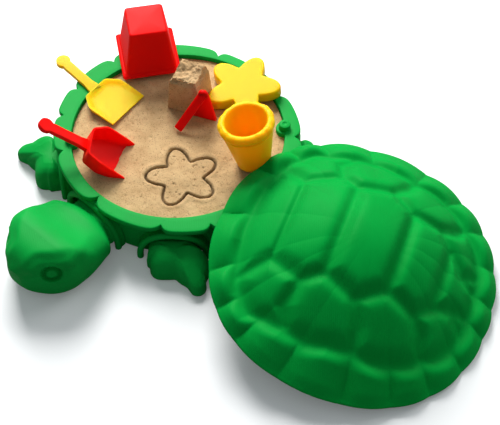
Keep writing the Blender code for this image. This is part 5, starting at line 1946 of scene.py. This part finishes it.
@dataclass
class Rake:
    """Small rake that stands on its teeth and on the end of its handle."""

    apex: Triple = (0.0029, 0.0171, 0.0425)
    left: Triple = (-0.0042, 0.0160, 0.0221)
    right: Triple = (0.0079, 0.0213, 0.0221)
    foot: Triple = (-0.0020, 0.0018, 0.0240)
    top_half: float = 0.0027
    handle_half: float = 0.0023
    thick: float = 0.0022
    edge: float = 0.0007
    teeth: int = 4
    tooth: float = 0.0024

    def plate(self, name: str, half: float, outline: Sequence[Pair], axis: Array,
              side: Array) -> bpy.types.Object:
        """Flat plate that hangs from the apex, with a round top.

        Args:
            name: Name of the piece.
            half: Half width of the top.
            outline: Its lower corners, down the axis and across.
            axis: Direction down the plate.
            side: Direction across it, which is squared to the axis.

        Returns:
            The plate.
        """
        turn = np.linspace(0.0, math.pi, 15)
        top = np.stack([-np.sin(turn), -np.cos(turn)], axis=1) * half
        square = unit(side - axis * float(side @ axis))
        full = np.concatenate([top, outline])
        return slab(name, np.array(self.apex), full, axis, square, self.thick, self.edge)

    def comb(self, length: float, half: float, axis: Array, side: Array) -> list[bpy.types.Object]:
        """Teeth under the lower edge of the head.

        Args:
            length: Length of the head.
            half: Half width of its lower edge.
            axis: Direction down the head.
            side: Direction across it.

        Returns:
            The teeth.
        """
        width = 2.0 * half / (2 * self.teeth - 1)
        lift = np.cross(axis, side)
        corners = ((-0.5, -0.4), (0.5, -0.4), (0.5, 0.4), (-0.5, 0.4))
        teeth = []
        for i in range(self.teeth):
            across = -half + width * (0.5 + 2.0 * i)
            rings = [np.array([np.array(self.apex) + axis * down + side * (across + width * a * scale)
                               + lift * (self.thick * b * scale) for a, b in corners])
                     for down, scale in ((length - 0.0006, 1.0), (length + self.tooth, 0.6))]
            teeth.append(softened(loft(f"rake_tooth_{i}", rings), 0.0002, 2, 40.0))
        return teeth

    def build(self, finish: bpy.types.Material) -> None:
        """Make the head, the teeth and the handle, and dress them as one piece.

        Args:
            finish: Material of the whole rake.
        """
        apex, left, right, foot = (np.array(point) for point in (self.apex, self.left, self.right, self.foot))
        middle = (left + right) / 2.0
        length, half = float(np.linalg.norm(middle - apex)), float(np.linalg.norm(right - left)) / 2.0
        axis, side = unit(middle - apex), unit(right - left)
        side = unit(side - axis * float(side @ axis))
        reach = float(np.linalg.norm(foot - apex))
        head = self.plate("rake_head", self.top_half, [(length, half), (length, -half)], axis, side)
        handle = self.plate("rake_handle", self.handle_half,
                            [(reach, self.handle_half), (reach, -self.handle_half)], unit(foot - apex), side)
        pieces = [head, *self.comb(length, half, axis, side), handle]
        dress(joined("small_rake", pieces, 32.0), finish, Body.RAKE, ["red_rake"])


class Tools:
    """The shovel, the scoop and the rake."""

    def build(self, finishes: Finishes) -> None:
        """Make and dress the three tools.

        Args:
            finishes: The finishes of the object.
        """
        TrayTool(
            "flat_shovel", "yellow_shovel", Body.SHOVEL, origin=(-0.0313, -0.0060, 0.0228),
            turn=186.0, rise=4.4, roll=1.0, length=0.0229, back_half=0.0079, side=0.0163, side_half=0.0128,
            front_half=0.0130, wall=0.0013, lean=0.30, rim=0.0004, bank=0.0040,
            handle=((-0.0545, -0.0088, 0.0255), (-0.0807, -0.0071, 0.0272))).build(finishes.yellow)
        TrayTool(
            "deep_scoop", "red_scoop", Body.SCOOP, origin=(-0.0051, -0.0280, 0.0169),
            turn=220.0, rise=27.5, roll=-7.6, length=0.0284, back_half=0.0075, side=0.0207, side_half=0.0113,
            front_half=0.0117, wall=0.0095, lean=0.04, rim=0.0009, bank=0.0012,
            handle=((-0.0222, -0.0431, 0.0338), (-0.0385, -0.0547, 0.0470))).build(finishes.red)
        Rake().build(finishes.red)


# ---------------------------------------------------------------- crumbs

@dataclass
class Crumbs:
    """Loose grains and crumbs of sand, scattered on a surface by Geometry Nodes."""

    name: str
    density: float
    smallest: float
    largest: float
    seed: int

    def tree(self, material: bpy.types.Material) -> bpy.types.NodeTree:
        """Node tree that scatters rough grains and makes them real.

        Args:
            material: Finish of the grains.

        Returns:
            The node tree, with named inputs for density, sizes and seed.
        """
        tree = bpy.data.node_groups.new(self.name, "GeometryNodeTree")
        face = tree.interface
        face.new_socket("Surface", in_out="INPUT", socket_type="NodeSocketGeometry")
        for label in ("Density", "Smallest", "Largest"):
            face.new_socket(label, in_out="INPUT", socket_type="NodeSocketFloat")
        face.new_socket("Seed", in_out="INPUT", socket_type="NodeSocketInt")
        face.new_socket("Grains", in_out="OUTPUT", socket_type="NodeSocketGeometry")
        graph = NodeGraph(tree)
        given = graph.add("NodeGroupInput").outputs
        spots = graph.add("GeometryNodeDistributePointsOnFaces", {
            "Mesh": given["Surface"], "Density": given["Density"], "Seed": given["Seed"]})
        grain = graph.add("GeometryNodeMeshIcoSphere", {"Radius": 1.0, "Subdivisions": 1})
        size = graph.add("FunctionNodeRandomValue", {
            2: given["Smallest"], 3: given["Largest"], "Seed": given["Seed"]}, data_type="FLOAT")
        spin = graph.add("FunctionNodeRandomValue", {1: (6.28, 6.28, 6.28)}, data_type="FLOAT_VECTOR")
        grains = graph.add("GeometryNodeInstanceOnPoints", {
            "Points": spots.outputs["Points"], "Instance": grain.outputs["Mesh"],
            "Scale": size.outputs[1], "Rotation": spin.outputs[0]})
        real = graph.add("GeometryNodeRealizeInstances", {"Geometry": grains.outputs["Instances"]})
        finish = graph.add("GeometryNodeSetMaterial", {
            "Geometry": real.outputs["Geometry"], "Material": material})
        graph.add("NodeGroupOutput", {"Grains": finish.outputs["Geometry"]})
        return tree

    def scatter(self, surface: bpy.types.Object, material: bpy.types.Material, body: Body) -> bpy.types.Object:
        """Scatter the grains over a surface and dress them.

        Args:
            surface: Piece that the grains lie on.
            material: Finish of the grains.
            body: Body that they ride on.

        Returns:
            The grains, as one plain mesh.
        """
        holder = linked(self.name, surface.data.copy())
        tree = self.tree(material)
        modifier = holder.modifiers.new("Scatter", "NODES")
        modifier.node_group = tree
        values = {"Density": self.density, "Smallest": self.smallest, "Largest": self.largest,
                  "Seed": self.seed}
        for item in tree.interface.items_tree:
            if item.in_out == "INPUT" and item.name in values:
                modifier[item.identifier] = values[item.name]
        return dress(baked(holder, 80.0), material, body)


# ---------------------------------------------------------------- stage

def aimed(obj: bpy.types.Object, place: Triple, aim: Triple) -> None:
    """Put a lamp or a camera at a place and turn it towards another."""
    obj.location = place
    obj.rotation_euler = (Vector(aim) - Vector(place)).to_track_quat("-Z", "Y").to_euler()


@dataclass(frozen=True)
class SoftLamp:
    """Square soft lamp aimed at the sandbox."""

    name: str
    place: Triple
    power: float
    size: float = 0.50
    aim: Triple = (0.05, 0.0, 0.0)

    def build(self) -> None:
        """Hang the lamp."""
        light = bpy.data.lights.new(self.name, "AREA")
        light.shape = "SQUARE"
        light.size = self.size
        light.energy = self.power
        aimed(linked(self.name, light), self.place, self.aim)


@dataclass
class Studio:
    """White table, soft light from above and behind, and the camera."""

    camera_place: Triple = (0.3054, -0.2824, 0.5053)
    camera_aim: Triple = (0.0638, -0.01415, 0.0250)
    lens: float = 86.4
    sensor: float = 36.0
    nearest: float = 0.01
    key: SoftLamp = SoftLamp("key", (-0.55, 0.40, 0.66), 16.0)
    fill: SoftLamp = SoftLamp("fill", (0.25, 0.80, 0.55), 3.0)
    sky: Triple = (0.86, 0.96, 1.0)
    sky_strength: float = 0.32
    table_half: float = 3.0
    table_paint: Triple = (0.95, 0.95, 0.95)
    table_bounce: Triple = (0.30, 0.30, 0.30)
    fade: Pair = (0.33, 0.60)
    haze: float = 0.09

    def build(self) -> None:
        """Set the table, the lamps, the world and the camera."""
        self.table()
        self.key.build()
        self.fill.build()
        scene = bpy.context.scene
        scene.world = bpy.data.worlds.new("studio_world")
        scene.world.use_nodes = True
        sky = scene.world.node_tree.nodes["Background"]
        sky.inputs["Color"].default_value = (*self.sky, 1.0)
        sky.inputs["Strength"].default_value = self.sky_strength
        scene.view_settings.view_transform = "Standard"
        camera = linked("camera", bpy.data.cameras.new("camera"))
        camera.data.lens = self.lens
        camera.data.sensor_width = self.sensor
        camera.data.clip_start = self.nearest
        aimed(camera, self.camera_place, self.camera_aim)
        scene.camera = camera

    def table(self) -> None:
        """Large table that keeps the shadow and turns plain white further out."""
        half = self.table_half
        mesh = bpy.data.meshes.new("table")
        mesh.from_pydata([(-half, -half, 0.0), (half, -half, 0.0), (half, half, 0.0), (-half, half, 0.0)],
                         [], [(0, 1, 2, 3)])
        table = linked("table", mesh)
        material, graph, shader = new_material("white_table")
        seen = graph.add("ShaderNodeLightPath").outputs["Is Camera Ray"]
        paint = graph.mixed(seen, (*self.table_bounce, 1.0), (*self.table_paint, 1.0))
        graph.feed(shader, {"Base Color": paint, "Roughness": 0.9, "Specular IOR Level": 0.0})
        distance = graph.add("ShaderNodeVectorMath", {0: graph.place()}, operation="LENGTH").outputs["Value"]
        share = graph.number("MULTIPLY", graph.carried(distance, self.fade, (self.haze, 1.0)), seen)
        white = graph.add("ShaderNodeEmission").outputs["Emission"]
        mix = graph.add("ShaderNodeMixShader", {0: share, 1: shader.outputs["BSDF"], 2: white})
        graph.feed(graph.nodes["Material Output"], {"Surface": mix.outputs["Shader"]})
        mesh.materials.append(material)


def main() -> None:
    """Build every piece in order."""
    logging.basicConfig(level=logging.INFO, format="%(name)s %(message)s")
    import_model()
    cover = Cover()
    finishes = Finishes(cover.axis())
    Studio().build()
    Basin().build(finishes)
    Head().build(finishes)
    Limbs().build(finishes)
    SandBed().build(finishes)
    SandCastle().build(finishes)
    cover.build(finishes)
    SquareBucket().build(finishes)
    RoundBucket().build(finishes)
    StarMould().build(finishes)
    Tools().build(finishes)
    Crumbs("loose_crumbs", density=90000.0, smallest=0.00012, largest=0.00034, seed=7).scatter(
        bpy.data.objects["sand_surface"], finishes.sand, Body.TUB)


if __name__ == "__main__":
    main()
